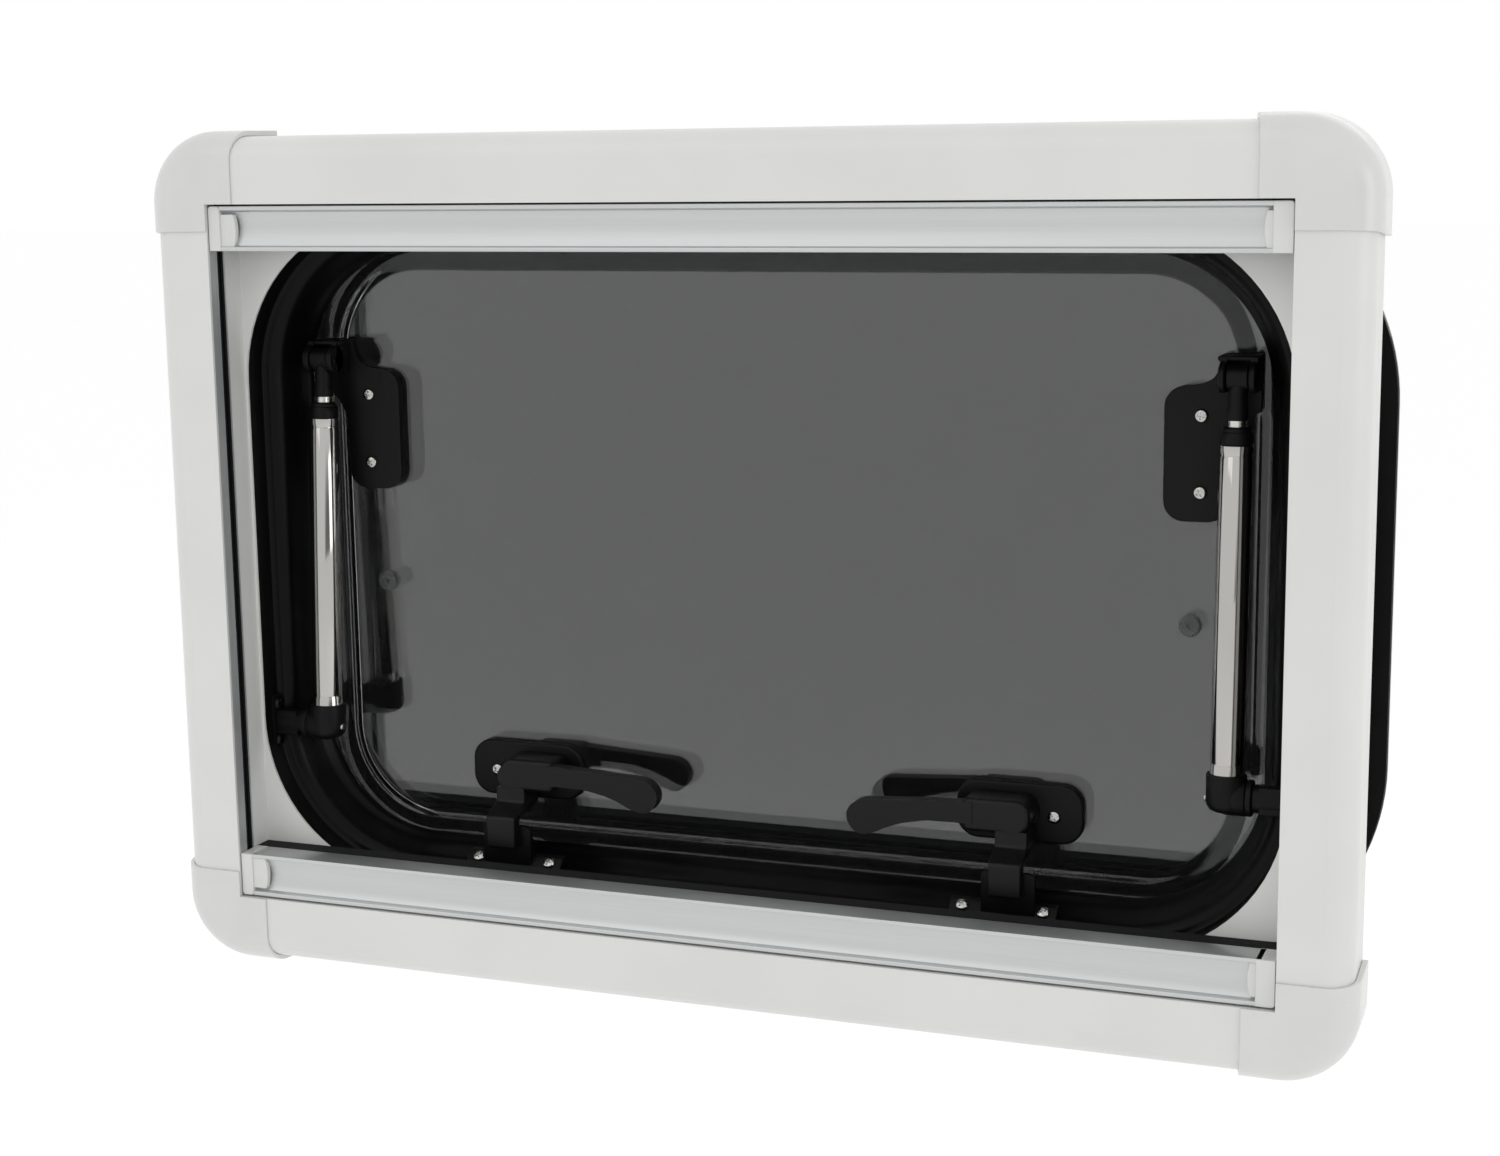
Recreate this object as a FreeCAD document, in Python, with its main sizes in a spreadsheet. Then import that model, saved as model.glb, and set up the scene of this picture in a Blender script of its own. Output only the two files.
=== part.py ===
import FreeCAD, Part
import math
import os
import Sketcher

# Hinged caravan window with its inner blind frame, in millimetres.
# X runs right as seen from the room, Y outward through the wall, Z up. The origin is the
# centre of the opening, on the plane where the blind frame meets the wall's inner face.

doc = FreeCAD.newDocument("HingedWindow")
sheet = doc.addObject("Spreadsheet::Sheet", "Sizes")


# ---------------------------------------------------------------- driving dimensions

sizes = {
    # blind frame
    "openWidth": (600, "clear width between the side profiles"),
    "openHeight": (401, "clear height between the cassettes"),
    "profileWidth": (37.2, "width of each profile seen from the room"),
    "blindDepth": (40, "depth of the blind frame from the wall"),
    "profileWall": (1.8, "wall of the extruded profiles"),
    "edgeRound": (14, "rounding of the outer front edge"),
    "reliefWidth": (22, "width of the relief over the clamp ring"),
    "reliefDepth": (8, "depth of the relief over the clamp ring"),
    "coverDrop": (15, "reach of a corner cover along the side profile"),
    "coverDropSlant": (4, "how much further that leg reaches at the wall"),
    "coverRun": (17, "reach of a corner cover along the top or bottom profile"),
    "coverRunSlant": (8, "how much further that leg reaches at the wall"),
    "coverWall": (1.2, "wall of a corner cover at its front"),
    "coverStand": (3.2, "how far a corner cover stands out at the sides"),
    "coverRound": (38, "corner radius of a corner cover"),
    "coverGap": (0.1, "gap under a corner cover"),
    "fixingRadius": (2.1, "radius of the wall fixing holes"),
    "fixingSpan": (300, "height between the wall fixing holes"),
    "fixingInset": (30, "from the opening's edge to a wall fixing hole"),
    # guides and bars
    "slotStart": (9, "from the front face to the guide slot"),
    "slotWidth": (6.1, "width of the guide slot"),
    "guideWidth": (11, "depth of the guide channel into the side profile"),
    "guideWall": (1.3, "wall of the guide channel"),
    "brushThick": (2, "thickness of one brush in the guide slot"),
    "barHeight": (24.8, "height of a pull bar"),
    "barDepth": (17.5, "depth of a pull bar"),
    "barFront": (1.5, "from the front face to the front of a pull bar"),
    "barGap": (1.0, "gap between a closed pull bar and its cassette"),
    "barWall": (1.4, "wall of the pull bar extrusion"),
    "barTravel": (340, "travel of a pull bar"),
    "grooveDepth": (3.8, "depth of the grip groove in a pull bar"),
    "lipHeight": (2.2, "height of the lips beside the grip groove"),
    "capWidth": (7.3, "width of an end cap"),
    "capGap": (0.5, "gap between an end cap and the side profile"),
    "tabLength": (11, "length of the tab of an end cap in the groove"),
    "tongueLength": (8, "reach of a cap's tongue into the guide slot"),
    "tongueThick": (1.6, "thickness of a cap's tongue"),
    "barBrushHeight": (3, "height of the brush behind a pull bar"),
    "barBrushGap": (1, "gap between that brush and the backing plate"),
    # cloths and their rollers
    "clothThick": (0.3, "thickness of both cloths"),
    "clothMargin": (7, "reach of a cloth into the guide slot"),
    "tubeRadius": (5.5, "radius of a roller tube"),
    "rollRadius": (8.2, "radius of the wound cloth"),
    "rollHeight": (15.5, "from the opening's edge to a roller's centre"),
    "tubeMargin": (9, "reach of a roller tube past the opening"),
    "bracketGap": (0.4, "end play of a roller"),
    "bracketThick": (2, "thickness of a roller bracket"),
    "pinRadius": (2.95, "radius of a roller pin"),
    "pinPlay": (0.05, "running clearance of a pin in its bore"),
    "pinLength": (11, "length of a roller pin"),
    # window frame in the wall
    "sillHeight": (8.5, "from the edge of a cassette down to the aperture"),
    "apertureRound": (92, "corner radius of the aperture"),
    "plateThick": (1.5, "thickness of the backing plate"),
    "plateLap": (1.2, "how far the backing plate covers the clamp ring"),
    "ringWidth": (21, "width of the clamp ring"),
    "wallThick": (30, "thickness of the wall"),
    "tubeReach": (9.5, "thickness of the frame tube outside the aperture"),
    "flangeReach": (26, "reach of the outer flange past the aperture"),
    "flangeThick": (5, "thickness of the outer flange"),
    "ridgeDepth": (8.4, "depth of the inner ridge behind the wall face"),
    "ridgeRise": (6.2, "height of the inner ridge"),
    "sightRise": (19.5, "height of the frame's inner edge at the sash"),
    # sash
    "paneSide": (41, "reach of the outer pane past the aperture at the sides"),
    "paneEnd": (23, "reach of the outer pane past the aperture above and below"),
    "paneRound": (120, "corner radius of the outer pane"),
    "paneStand": (16, "from the flange to the outer pane"),
    "outerThick": (4, "thickness of the outer pane"),
    "innerThick": (3, "thickness of the inner pane"),
    "dishStand": (5, "from the flange to the inner pane's raised middle"),
    "dishSide": (32, "from the aperture's side to the inner pane's raised middle"),
    "dishEnd": (24, "from the aperture's sill to the inner pane's raised middle"),
    "dishRound": (56, "corner radius of the inner pane's raised middle"),
    "innerInset": (2, "from the aperture to the inner pane's edge"),
    "rimThick": (1.5, "thickness of the bonded rim between the panes"),
    "rimWidth": (49, "width of the bonded rim"),
    "sealInset": (8, "from the aperture to the sash seal"),
    "sealWidth": (6, "width of the sash seal"),
    "sealGap": (0.3, "gap of the resting seal to the inner pane"),
    "hingeDrop": (9, "from the pane's top edge to the hinge axis"),
    "hingeStand": (7.5, "from the flange to the hinge axis"),
    "hingeLength": (420, "length of the hinge profiles"),
    "beadRadius": (2.95, "radius of the hinge bead"),
    "socketWall": (1.65, "wall of the hinge socket"),
    "plugInset": (61, "from the aperture's side to a vent plug"),
    "plugZ": (-23, "height of the vent plugs"),
    "plugRadius": (6, "radius of a vent plug"),
    # stays
    "stayInset": (35, "from the aperture's side to a stay"),
    "stayTopY": (20, "depth of the upper pivot"),
    "stayTopDrop": (82, "from the aperture's top down to the upper pivot"),
    "stayFootY": (8.5, "depth of the lower pivot"),
    "stayFootRise": (87, "from the aperture's sill up to the lower pivot"),
    "stayTubeRadius": (8.6, "radius of the stay tube"),
    "stayRodRadius": (4.6, "radius of the stay rod"),
    "stayTubeTop": (33, "from the upper pivot down to the tube"),
    "footRadius": (9.6, "radius of the knuckle at the foot of a stay"),
    "stayStroke": (61, "how far the stay draws out"),
    "stayTubeWall": (1, "wall of the stay tube"),
    # latches
    "latchX": (149.5, "latch pivots, from the middle"),
    "latchRise": (62, "from the aperture's sill up to the latch pivots"),
    "latchLength": (71, "length of a latch base"),
    "latchHeight": (33, "height of a latch base"),
    "latchThick": (4, "thickness of a latch base"),
    "hubWidth": (37, "width of a lever's hub"),
    "hubHeight": (19, "height of a lever's hub"),
    "hubLift": (3.2, "room for the screw heads under a lever's hub"),
    "bossRadius": (9.2, "radius of the round boss over a latch pivot"),
    "hubTop": (26, "how far the hub stands off the inner pane"),
    "leverReach": (93.5, "from the pivot to the tip of the lever"),
    "leverThick": (8, "depth of the lever"),
    "tongueWidth": (18, "width of a latch tongue"),
    "tongueDrop": (39.2, "from the pivot to the end of the tongue"),
    "strikeWidth": (30, "width of a keeper's strike"),
    "keeperShift": (3.3, "from a latch pivot to its keeper's middle"),
    "keeperWidth": (60, "width of a keeper"),
    "keeperSpan": (45, "between the two screws of a keeper"),
    # screws
    "screwHead": (3.7, "radius of a screw head"),
    "screwCrown": (2.2, "height of a screw head"),
    "screwShank": (1.9, "radius of a screw shank"),
    "screwFit": (0.05, "clearance of a screw in its hole"),
}


class Rule:
    """A size as a number, with the spreadsheet expression that gives it."""

    def __init__(self, number, text):
        self.number = float(number)
        self.text = text

    def __float__(self):
        return self.number

    def combine(self, number, sign, other, swapped=False):
        text = other.text if isinstance(other, Rule) else repr(float(other))
        first, second = (text, self.text) if swapped else (self.text, text)
        return Rule(number, f"({first} {sign} {second})")

    def __add__(self, other):
        return self.combine(self.number + float(other), "+", other)

    def __radd__(self, other):
        return self.combine(self.number + float(other), "+", other, True)

    def __sub__(self, other):
        return self.combine(self.number - float(other), "-", other)

    def __rsub__(self, other):
        return self.combine(float(other) - self.number, "-", other, True)

    def __mul__(self, other):
        return self.combine(self.number * float(other), "*", other)

    def __rmul__(self, other):
        return self.combine(self.number * float(other), "*", other, True)

    def __truediv__(self, other):
        return self.combine(self.number / float(other), "/", other)

    def __neg__(self):
        return Rule(-self.number, f"(-1 * {self.text})")


class Dimensions:
    """Every driving dimension by name, as a rule that reads its spreadsheet cell."""

    def __init__(self, table):
        for row, (alias, (number, note)) in enumerate(table.items(), start=1):
            sheet.set(f"A{row}", note)
            sheet.set(f"B{row}", str(number))
            sheet.setAlias(f"B{row}", alias)
            setattr(self, alias, Rule(number, f"Sizes.{alias}"))


d = Dimensions(sizes)
doc.recompute()


# ---------------------------------------------------------------- ways of making a piece


def bind(item, name, rule):
    """Sets a property of an object to a rule or a plain number."""
    if isinstance(rule, Rule):
        item.setExpression(name, rule.text)
    else:
        setattr(item, name, float(rule))


def place(item, corner, turn=None):
    """Puts an object at a point whose coordinates may be rules."""
    base = FreeCAD.Vector(*[float(value) for value in corner])
    item.Placement = FreeCAD.Placement(base, turn or FreeCAD.Rotation())
    for axis, rule in zip("xyz", corner):
        if isinstance(rule, Rule):
            item.setExpression(f"Placement.Base.{axis}", rule.text)


def box(name, low, high):
    """A box between two corners."""
    item = doc.addObject("Part::Box", name)
    for side, start, end in zip(("Length", "Width", "Height"), low, high):
        bind(item, side, end - start)
    place(item, low)
    return item


def mirroredBox(name, side, low, high):
    """A box given on the right-hand side, and made on the side asked for."""
    if side > 0:
        return box(name, low, high)
    return box(name, (-1 * high[0], low[1], low[2]), (-1 * low[0], high[1], high[2]))


TURNS = {
    "x": FreeCAD.Rotation(FreeCAD.Vector(0, 1, 0), 90),
    "y": FreeCAD.Rotation(FreeCAD.Vector(1, 0, 0), -90),
    "z": FreeCAD.Rotation(),
}


def cylinder(name, axis, start, radius, length):
    """A cylinder from a start point along the positive x, y or z axis."""
    item = doc.addObject("Part::Cylinder", name)
    bind(item, "Radius", radius)
    bind(item, "Height", length)
    place(item, start, TURNS[axis])
    return item


def cut(name, base, tool):
    item = doc.addObject("Part::Cut", name)
    item.Base = base
    item.Tool = tool
    return item


def fuse(name, shapes):
    item = doc.addObject("Part::MultiFuse", name)
    item.Shapes = shapes
    return item


def group(name, shapes):
    """Several separate solids in one node."""
    item = doc.addObject("Part::Compound", name)
    item.Links = shapes
    return item


def common(name, base, tool):
    item = doc.addObject("Part::Common", name)
    item.Base = base
    item.Tool = tool
    return item


def shaped(name, shape):
    """A piece whose shape is made directly, with its size read from the sheet."""
    item = doc.addObject("Part::Feature", name)
    item.Shape = shape
    item.Placement = FreeCAD.Placement()
    return item


def newBody(name):
    return doc.addObject("PartDesign::Body", name)


def newSketch(body, plane, offset=0):
    """A sketch on an origin plane of its body, moved along the plane's normal."""
    sketch = body.newObject("Sketcher::SketchObject", body.Name + "Sketch")
    role = {"xy": "XY_Plane", "xz": "XZ_Plane", "yz": "YZ_Plane"}[plane]
    planes = {feature.Role: feature for feature in body.Origin.OriginFeatures}
    sketch.AttachmentSupport = [(planes[role], "")]
    sketch.MapMode = "FlatFace"
    if isinstance(offset, Rule):
        sketch.setExpression("AttachmentOffset.Base.z", offset.text)
    else:
        sketch.AttachmentOffset = FreeCAD.Placement(
            FreeCAD.Vector(0, 0, offset), FreeCAD.Rotation()
        )
    return sketch


def fixPoint(sketch, geometry, point, target):
    """Holds one point of a sketch at its two coordinates."""
    for kind, axis, rule in zip(("DistanceX", "DistanceY"), (-2, -1), target):
        if not isinstance(rule, Rule) and rule == 0:
            sketch.addConstraint(
                Sketcher.Constraint("PointOnObject", geometry, point, axis)
            )
            continue
        number = sketch.addConstraint(
            Sketcher.Constraint(kind, -1, 1, geometry, point, float(rule))
        )
        if isinstance(rule, Rule):
            sketch.setExpression(f"Constraints[{number}]", rule.text)


def polygon(sketch, points):
    """A closed outline of straight edges."""
    first = sketch.GeometryCount
    corners = [FreeCAD.Vector(float(a), float(b), 0) for a, b in points]
    for here, there in zip(corners, corners[1:] + corners[:1]):
        sketch.addGeometry(Part.LineSegment(here, there))
    for n, target in enumerate(points):
        before = first + (n - 1) % len(points)
        sketch.addConstraint(
            Sketcher.Constraint("Coincident", before, 2, first + n, 1)
        )
        fixPoint(sketch, first + n, 1, target)


def roundedLoop(sketch, halfWidth, halfHeight, radius, middle=0):
    """A rectangle with round corners, whose first edge starts at the middle of its top."""
    first = sketch.GeometryCount
    width, height, bend = float(halfWidth), float(halfHeight), float(radius)
    level = float(middle)
    insetX, insetZ = halfWidth - radius, halfHeight - radius
    corners = ((1, 1), (1, -1), (-1, -1), (-1, 1))
    for n, (sx, sz) in enumerate(corners):
        centre = FreeCAD.Vector(
            sx * (width - bend), level + sz * (height - bend), 0
        )
        start = math.pi / 2 * ((4 - n) % 4)
        circle = Part.Circle(centre, FreeCAD.Vector(0, 0, 1), bend)
        sketch.addGeometry(Part.ArcOfCircle(circle, start, start + math.pi / 2))
    # arc n runs anticlockwise, so its end (2) meets the run before it and its start (1) the next
    for n, (sx, sz) in enumerate(corners):
        arc = first + n
        fixPoint(sketch, arc, 3, (sx * insetX, middle + sz * insetZ))
        radial = (sx * halfWidth, middle + sz * insetZ)
        tall = (sx * insetX, middle + sz * halfHeight)
        start, end = (radial, tall) if n % 2 == 0 else (tall, radial)
        fixPoint(sketch, arc, 1, start)
        line = "Vertical" if n % 2 == 0 else "Horizontal"
        sketch.addConstraint(Sketcher.Constraint(line, arc, 3, arc, 2))
    runs = []
    for n in range(4):
        here, there = first + n, first + (n + 1) % 4
        ends = (sketch.getPoint(here, 1), sketch.getPoint(there, 2))
        if n < 3:
            line = sketch.addGeometry(Part.LineSegment(*ends))
            runs.append((line, here, there))
            continue
        top = FreeCAD.Vector(0, level + height, 0)
        left = sketch.addGeometry(Part.LineSegment(ends[0], top))
        right = sketch.addGeometry(Part.LineSegment(top, ends[1]))
        sketch.addConstraint(Sketcher.Constraint("Coincident", left, 1, here, 1))
        sketch.addConstraint(Sketcher.Constraint("Coincident", left, 2, right, 1))
        sketch.addConstraint(Sketcher.Constraint("Coincident", right, 2, there, 2))
        sketch.addConstraint(Sketcher.Constraint("PointOnObject", left, 2, -2))
    for line, here, there in runs:
        sketch.addConstraint(Sketcher.Constraint("Coincident", line, 1, here, 1))
        sketch.addConstraint(Sketcher.Constraint("Coincident", line, 2, there, 2))


def pad(body, sketch, length, backward=False):
    feature = body.newObject("PartDesign::Pad", body.Name + "Pad")
    feature.Profile = sketch
    bind(feature, "Length", length)
    feature.Reversed = backward
    return feature


def fillet(body, base, near, radius):
    """Rounds the edge of the base feature whose middle is nearest to a point."""
    doc.recompute()
    point = Part.Vertex(FreeCAD.Vector(*[float(value) for value in near]))
    edges = base.Shape.Edges
    nearest = min(range(len(edges)), key=lambda n: edges[n].distToShape(point)[0])
    feature = body.newObject("PartDesign::Fillet", body.Name + "Fillet")
    feature.Base = (base, [f"Edge{nearest + 1}"])
    bind(feature, "Radius", radius)
    return feature


def slab(name, near, far, outer, inner=None):
    """A flat plate or ring between two depths, with round corners.

    outer and inner are (half width, half height, radius, middle height)."""
    body = newBody(name)
    sketch = newSketch(body, "xz", -1 * near)
    for loop in (outer, inner):
        if loop:
            roundedLoop(sketch, *loop)
    pad(body, sketch, far - near, backward=True)
    return body


def ring(name, spine, section):
    """A section swept round a rounded rectangle.

    spine is (half width, half height, radius); the section's points are (depth, height)."""
    body = newBody(name)
    path = newSketch(body, "xz")
    roundedLoop(path, *spine)
    profile = newSketch(body, "yz")
    polygon(profile, section)
    sweep = body.newObject("PartDesign::AdditivePipe", name + "Sweep")
    sweep.Profile = profile
    sweep.Spine = path
    return body


def bar(name, plane, start, length, outline, hole=None):
    """An extrusion along x (plane yz) or z (plane xy)."""
    body = newBody(name)
    sketch = newSketch(body, plane, start)
    polygon(sketch, outline)
    if hole:
        polygon(sketch, hole)
    pad(body, sketch, length)
    return body


def screwShape(station):
    """A pan-head screw: its seat, the way it points, its shank length."""
    seat, way, length = station
    head, crown = float(d.screwHead), float(d.screwCrown)
    shank = Part.makeCylinder(float(d.screwShank), length)
    sphere = (head * head + crown * crown) / (2 * crown)
    cap = Part.makeSphere(sphere, FreeCAD.Vector(0, 0, sphere - crown))
    below = Part.makeBox(
        4 * sphere, 4 * sphere, 4 * sphere, FreeCAD.Vector(-2 * sphere, -2 * sphere, 0)
    )
    shape = cap.cut(below).fuse(shank)
    turn = FreeCAD.Rotation(FreeCAD.Vector(0, 0, 1), FreeCAD.Vector(*way))
    shape.Placement = FreeCAD.Placement(FreeCAD.Vector(*seat), turn)
    return shape


def screws(name, stations):
    return shaped(name, Part.makeCompound([screwShape(one) for one in stations]))


def drilled(name, base, stations):
    """The base with a hole for each screw that passes through it."""
    holes = []
    for seat, way, length in stations:
        way = FreeCAD.Vector(*way).normalize()
        start = FreeCAD.Vector(*seat) - way * 0.01
        radius = float(d.screwShank) + float(d.screwFit)
        holes.append(Part.makeCylinder(radius, length + 0.3, start, way))
    return cut(name, base, shaped(name + "Holes", Part.makeCompound(holes)))


nodes = []


def node(item, name):
    """Marks an object as one finished sub-part."""
    item.Label = name
    nodes.append(item)
    return item


SIDES = (("left", -1), ("right", 1))
ENDS = (("bottom", -1), ("top", 1))

halfWidth = d.openWidth / 2
halfHeight = d.openHeight / 2
front = -1 * d.blindDepth
webPlane = front + d.slotStart + d.slotWidth / 2
cavityFront = front + d.profileWall
cavityRear = -1 * d.reliefDepth - d.profileWall
apertureX = halfWidth
apertureZ = halfHeight - d.sillHeight
stayX = apertureX - d.stayInset
stayTopZ = apertureZ - d.stayTopDrop
stayFootZ = d.stayFootRise - apertureZ
latchZ = d.latchRise - apertureZ
plugX = apertureX - d.plugInset
flangeRear = d.wallThick + d.flangeThick
dishFace = flangeRear + d.dishStand
outerFace = flangeRear + d.paneStand


def aperture(inset):
    """The aperture's outline, moved inward by an inset."""
    return (apertureX - inset, apertureZ - inset, d.apertureRound - inset)


# ---------------------------------------------------------------- blind frame


def frameBlank():
    """The outer envelope of the blind frame, with its corners and front edge rounded."""
    body = newBody("frameBlank")
    sketch = newSketch(body, "xz", -1 * front)
    wide, tall = halfWidth + d.profileWidth, halfHeight + d.profileWidth
    under = d.coverRound - d.coverWall - d.coverGap
    roundedLoop(sketch, wide, tall, under)
    blank = pad(body, sketch, d.blindDepth, backward=True)
    return fillet(body, blank, (float(wide), float(front), 0), d.edgeRound)


def profileOutline(edge, sign, swap):
    """The section of a profile: its outline and its hollow, as (across, depth) points."""
    inner, wall = d.profileWidth - d.profileWall, d.profileWall
    round45 = (d.edgeRound - wall) * (1 - math.sqrt(0.5))
    outline = [
        (0, front), (d.profileWidth, front), (d.profileWidth, 0), (d.reliefWidth, 0),
        (d.reliefWidth, -1 * d.reliefDepth), (0, -1 * d.reliefDepth),
    ]
    hollow = [
        (wall, cavityFront), (d.profileWidth - d.edgeRound, cavityFront),
        (inner - round45, cavityFront + round45), (inner, front + d.edgeRound),
        (inner, -1 * wall), (d.reliefWidth + wall, -1 * wall),
        (d.reliefWidth + wall, cavityRear), (wall, cavityRear),
    ]
    made = []
    for points in (outline, hollow):
        placed = [(sign * (edge + across), depth) for across, depth in points]
        made.append([(b, a) for a, b in placed] if swap else placed)
    return made


blank = frameBlank()
slotFront, slotRear = front + d.slotStart, front + d.slotStart + d.slotWidth
guideRear = slotRear + d.guideWall

for end, sign in ENDS:
    outline, hollow = profileOutline(halfHeight, sign, True)
    profile = bar(end + "Section", "yz", -1 * halfWidth, d.openWidth, outline, hollow)
    rounded = common(end + "Rounded", profile, blank)
    low, high = halfHeight - 1, halfHeight + d.profileWall + 1
    if sign < 0:
        low, high = -1 * high, -1 * low
    slot = box(
        end + "Slot", (-1 * halfWidth - 1, slotFront, low), (halfWidth + 1, slotRear, high)
    )
    node(cut(end + "Cassette", rounded, slot), end + "_cassette")

for side, sign in SIDES:
    tall = halfHeight + d.profileWidth
    outline, hollow = profileOutline(halfWidth, sign, False)
    profile = bar(side + "Section", "xy", -1 * tall, 2 * tall, outline, hollow)
    rounded = common(side + "Rounded", profile, blank)
    tools = [
        mirroredBox(
            side + "GuideCut", sign, (halfWidth - 1, cavityFront, -1 * tall - 1),
            (halfWidth + d.profileWall + 0.1, guideRear, tall + 1),
        )
    ]
    for end, up in ENDS:
        low, high = halfHeight + d.profileWall, tall - d.profileWall
        if up < 0:
            low, high = -1 * high, -1 * low
        tools.append(
            mirroredBox(
                f"{side}{end}ClothCut", sign, (halfWidth - 1, cavityFront, low),
                (halfWidth + d.profileWall + 0.1, cavityRear, high),
            )
        )
        tools.append(
            cylinder(
                f"{side}{end}Fixing", "y",
                (sign * (halfWidth + d.fixingInset), -3 * d.profileWall, up * d.fixingSpan / 2),
                d.fixingRadius, 6 * d.profileWall,
            )
        )
    node(cut(side + "Profile", rounded, fuse(side + "Tools", tools)), side + "_side_profile")


def cornerSolid(name, sideSign, endSign, grow, inside, face, rear, edge):
    """An L-shaped corner block with its outer corner and front edge rounded."""
    body = newBody(name)
    sketch = newSketch(body, "xz", -1 * face)
    farX = sideSign * (halfWidth + d.profileWidth + grow)
    farZ = endSign * (halfHeight + d.profileWidth + grow)
    nearX, nearZ = sideSign * (halfWidth - inside), endSign * (halfHeight - inside)
    legX = sideSign * (halfWidth - d.coverRun - d.coverRunSlant - inside)
    legZ = endSign * (halfHeight - d.coverDrop - d.coverDropSlant - inside)
    polygon(
        sketch,
        [(farX, farZ), (legX, farZ), (legX, nearZ), (nearX, nearZ), (nearX, legZ), (farX, legZ)],
    )
    block = pad(body, sketch, rear - face, backward=True)
    middle = (float(face) + float(rear)) / 2
    corner = fillet(
        body, block, (float(farX), middle, float(farZ)), d.coverRound - d.coverWall + grow
    )
    fillet(body, corner, (float(farX), float(face), float(legZ)), edge)
    return body


def legSlant(near, slant, sign, face, rear):
    """The wedge that slants the end of a cover's leg, as (along, depth) points."""
    far = near - slant
    points = [(near, face), (far, rear), (far - 1, rear), (far - 1, face - 1), (near, face - 1)]
    return [(sign * along, depth) for along, depth in points]


for side, sideSign in SIDES:
    for end, endSign in ENDS:
        name = f"{end}{side}Cover"
        skin = d.coverWall + d.coverGap
        face, rear = front - skin, -1 * d.profileWall
        block = cornerSolid(
            name + "Block", sideSign, endSign, d.coverStand, 0, face, rear,
            d.edgeRound + 2 * d.coverWall,
        )
        reach = d.profileWidth + d.coverStand + 2
        startX = halfWidth - 1 if sideSign > 0 else -1 * (halfWidth - 1 + reach)
        startZ = halfHeight - 1 if endSign > 0 else -1 * (halfHeight - 1 + reach)
        run = legSlant(halfWidth - d.coverRun, d.coverRunSlant, sideSign, face, rear)
        drop = legSlant(halfHeight - d.coverDrop, d.coverDropSlant, endSign, face, rear)
        wedgeX = bar(name + "WedgeX", "xy", startZ, reach, run)
        wedgeZ = bar(name + "WedgeZ", "yz", startX, reach, [(depth, along) for along, depth in drop])
        outer = cut(name + "Outer", block, fuse(name + "Wedges", [wedgeX, wedgeZ]))
        inner = cornerSolid(
            name + "Inner", sideSign, endSign, d.coverGap, 1, front - d.coverGap, 1,
            d.edgeRound + d.coverGap,
        )
        node(cut(name, outer, inner), f"corner_cover_{end}_{side}")

# the guide channel sits in the side profile, and its slot is lined with two brushes
channels, brushes = [], []
for side, sign in SIDES:
    name = side + "Channel"
    channel = mirroredBox(
        name + "Block", sign, (halfWidth, cavityFront, -1 * halfHeight),
        (halfWidth + d.guideWidth, guideRear, halfHeight),
    )
    bore = mirroredBox(
        name + "Bore", sign,
        (halfWidth + d.guideWall, cavityFront + d.guideWall, -1 * halfHeight - 1),
        (halfWidth + d.guideWidth - d.guideWall, slotRear, halfHeight + 1),
    )
    mouth = mirroredBox(
        name + "Mouth", sign, (halfWidth - 1, slotFront, -1 * halfHeight - 1),
        (halfWidth + d.guideWall + 1, slotRear, halfHeight + 1),
    )
    channels.append(cut(name, channel, fuse(name + "Tools", [bore, mouth])))
    for row, start in (("Front", slotFront), ("Rear", slotRear - d.brushThick)):
        brushes.append(
            mirroredBox(
                side + row + "Brush", sign, (halfWidth + 0.2, start, -1 * halfHeight),
                (halfWidth + d.guideWidth - d.guideWall - 1, start + d.brushThick, halfHeight),
            )
        )
node(group("guideChannels", channels), "guide_channels")
node(group("guideBrushes", brushes), "guide_brushes")

plateFront = -1 * d.reliefDepth
plateRear = plateFront + d.plateThick
plateX, plateZ = halfWidth + d.reliefWidth - 1, halfHeight + d.reliefWidth - 1
node(
    slab("backingPlate", plateFront, plateRear, (plateX, plateZ, 4), aperture(d.plateLap)),
    "backing_plate",
)


# ---------------------------------------------------------------- window frame in the wall


def clampStations():
    """Where the clamp ring is screwed to the window frame."""
    seat = float(plateRear) + 3.5
    lineX, lineZ = float(apertureX) + 4.6, float(apertureZ) + 4.6
    places = [(x, sign * lineZ) for sign in (-1, 1) for x in (-195, -65, 65, 195)]
    places += [(sign * lineX, z) for sign in (-1, 1) for z in (-55, 55)]
    return [((x, seat, z), (0, 1, 0), 14.0) for x, z in places]


clampPlaces = clampStations()
ringPlate = slab("ringPlate", plateRear, 0, aperture(-1 * d.ringWidth), aperture(0.6))
headHoles = shaped(
    "clampHeadHoles",
    Part.makeCompound(
        [
            Part.makeCylinder(
                float(d.screwHead) + 0.1, 10,
                FreeCAD.Vector(seat[0], seat[1] - 10, seat[2]), FreeCAD.Vector(0, 1, 0),
            )
            for seat, way, length in clampPlaces
        ]
    ),
)
sunk = cut("ringSunk", ringPlate, headHoles)
node(drilled("clampRing", sunk, clampPlaces), "clamp_ring")
node(screws("clampScrews", clampPlaces), "clamp_screws")


def frameSection():
    """The frame's section at the middle of its top, as (depth, height) points."""
    inward = [
        (0, 1.0), (d.ridgeDepth, d.ridgeRise * 0.25), (d.ridgeDepth, d.ridgeRise),
        (d.ridgeDepth + 4, d.ridgeRise + 4.4), (d.ridgeDepth + 9.5, d.ridgeRise + 6.4),
        (d.ridgeDepth + 18, d.ridgeRise + 8), (d.wallThick - 0.5, d.sightRise - 2),
        (flangeRear, d.sightRise),
    ]
    outward = [
        (flangeRear, -1 * d.flangeReach), (d.wallThick, -1 * d.flangeReach),
        (d.wallThick, -1 * d.tubeReach), (0, -1 * d.tubeReach),
    ]
    return [(depth, apertureZ - rise) for depth, rise in inward + outward]


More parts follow.
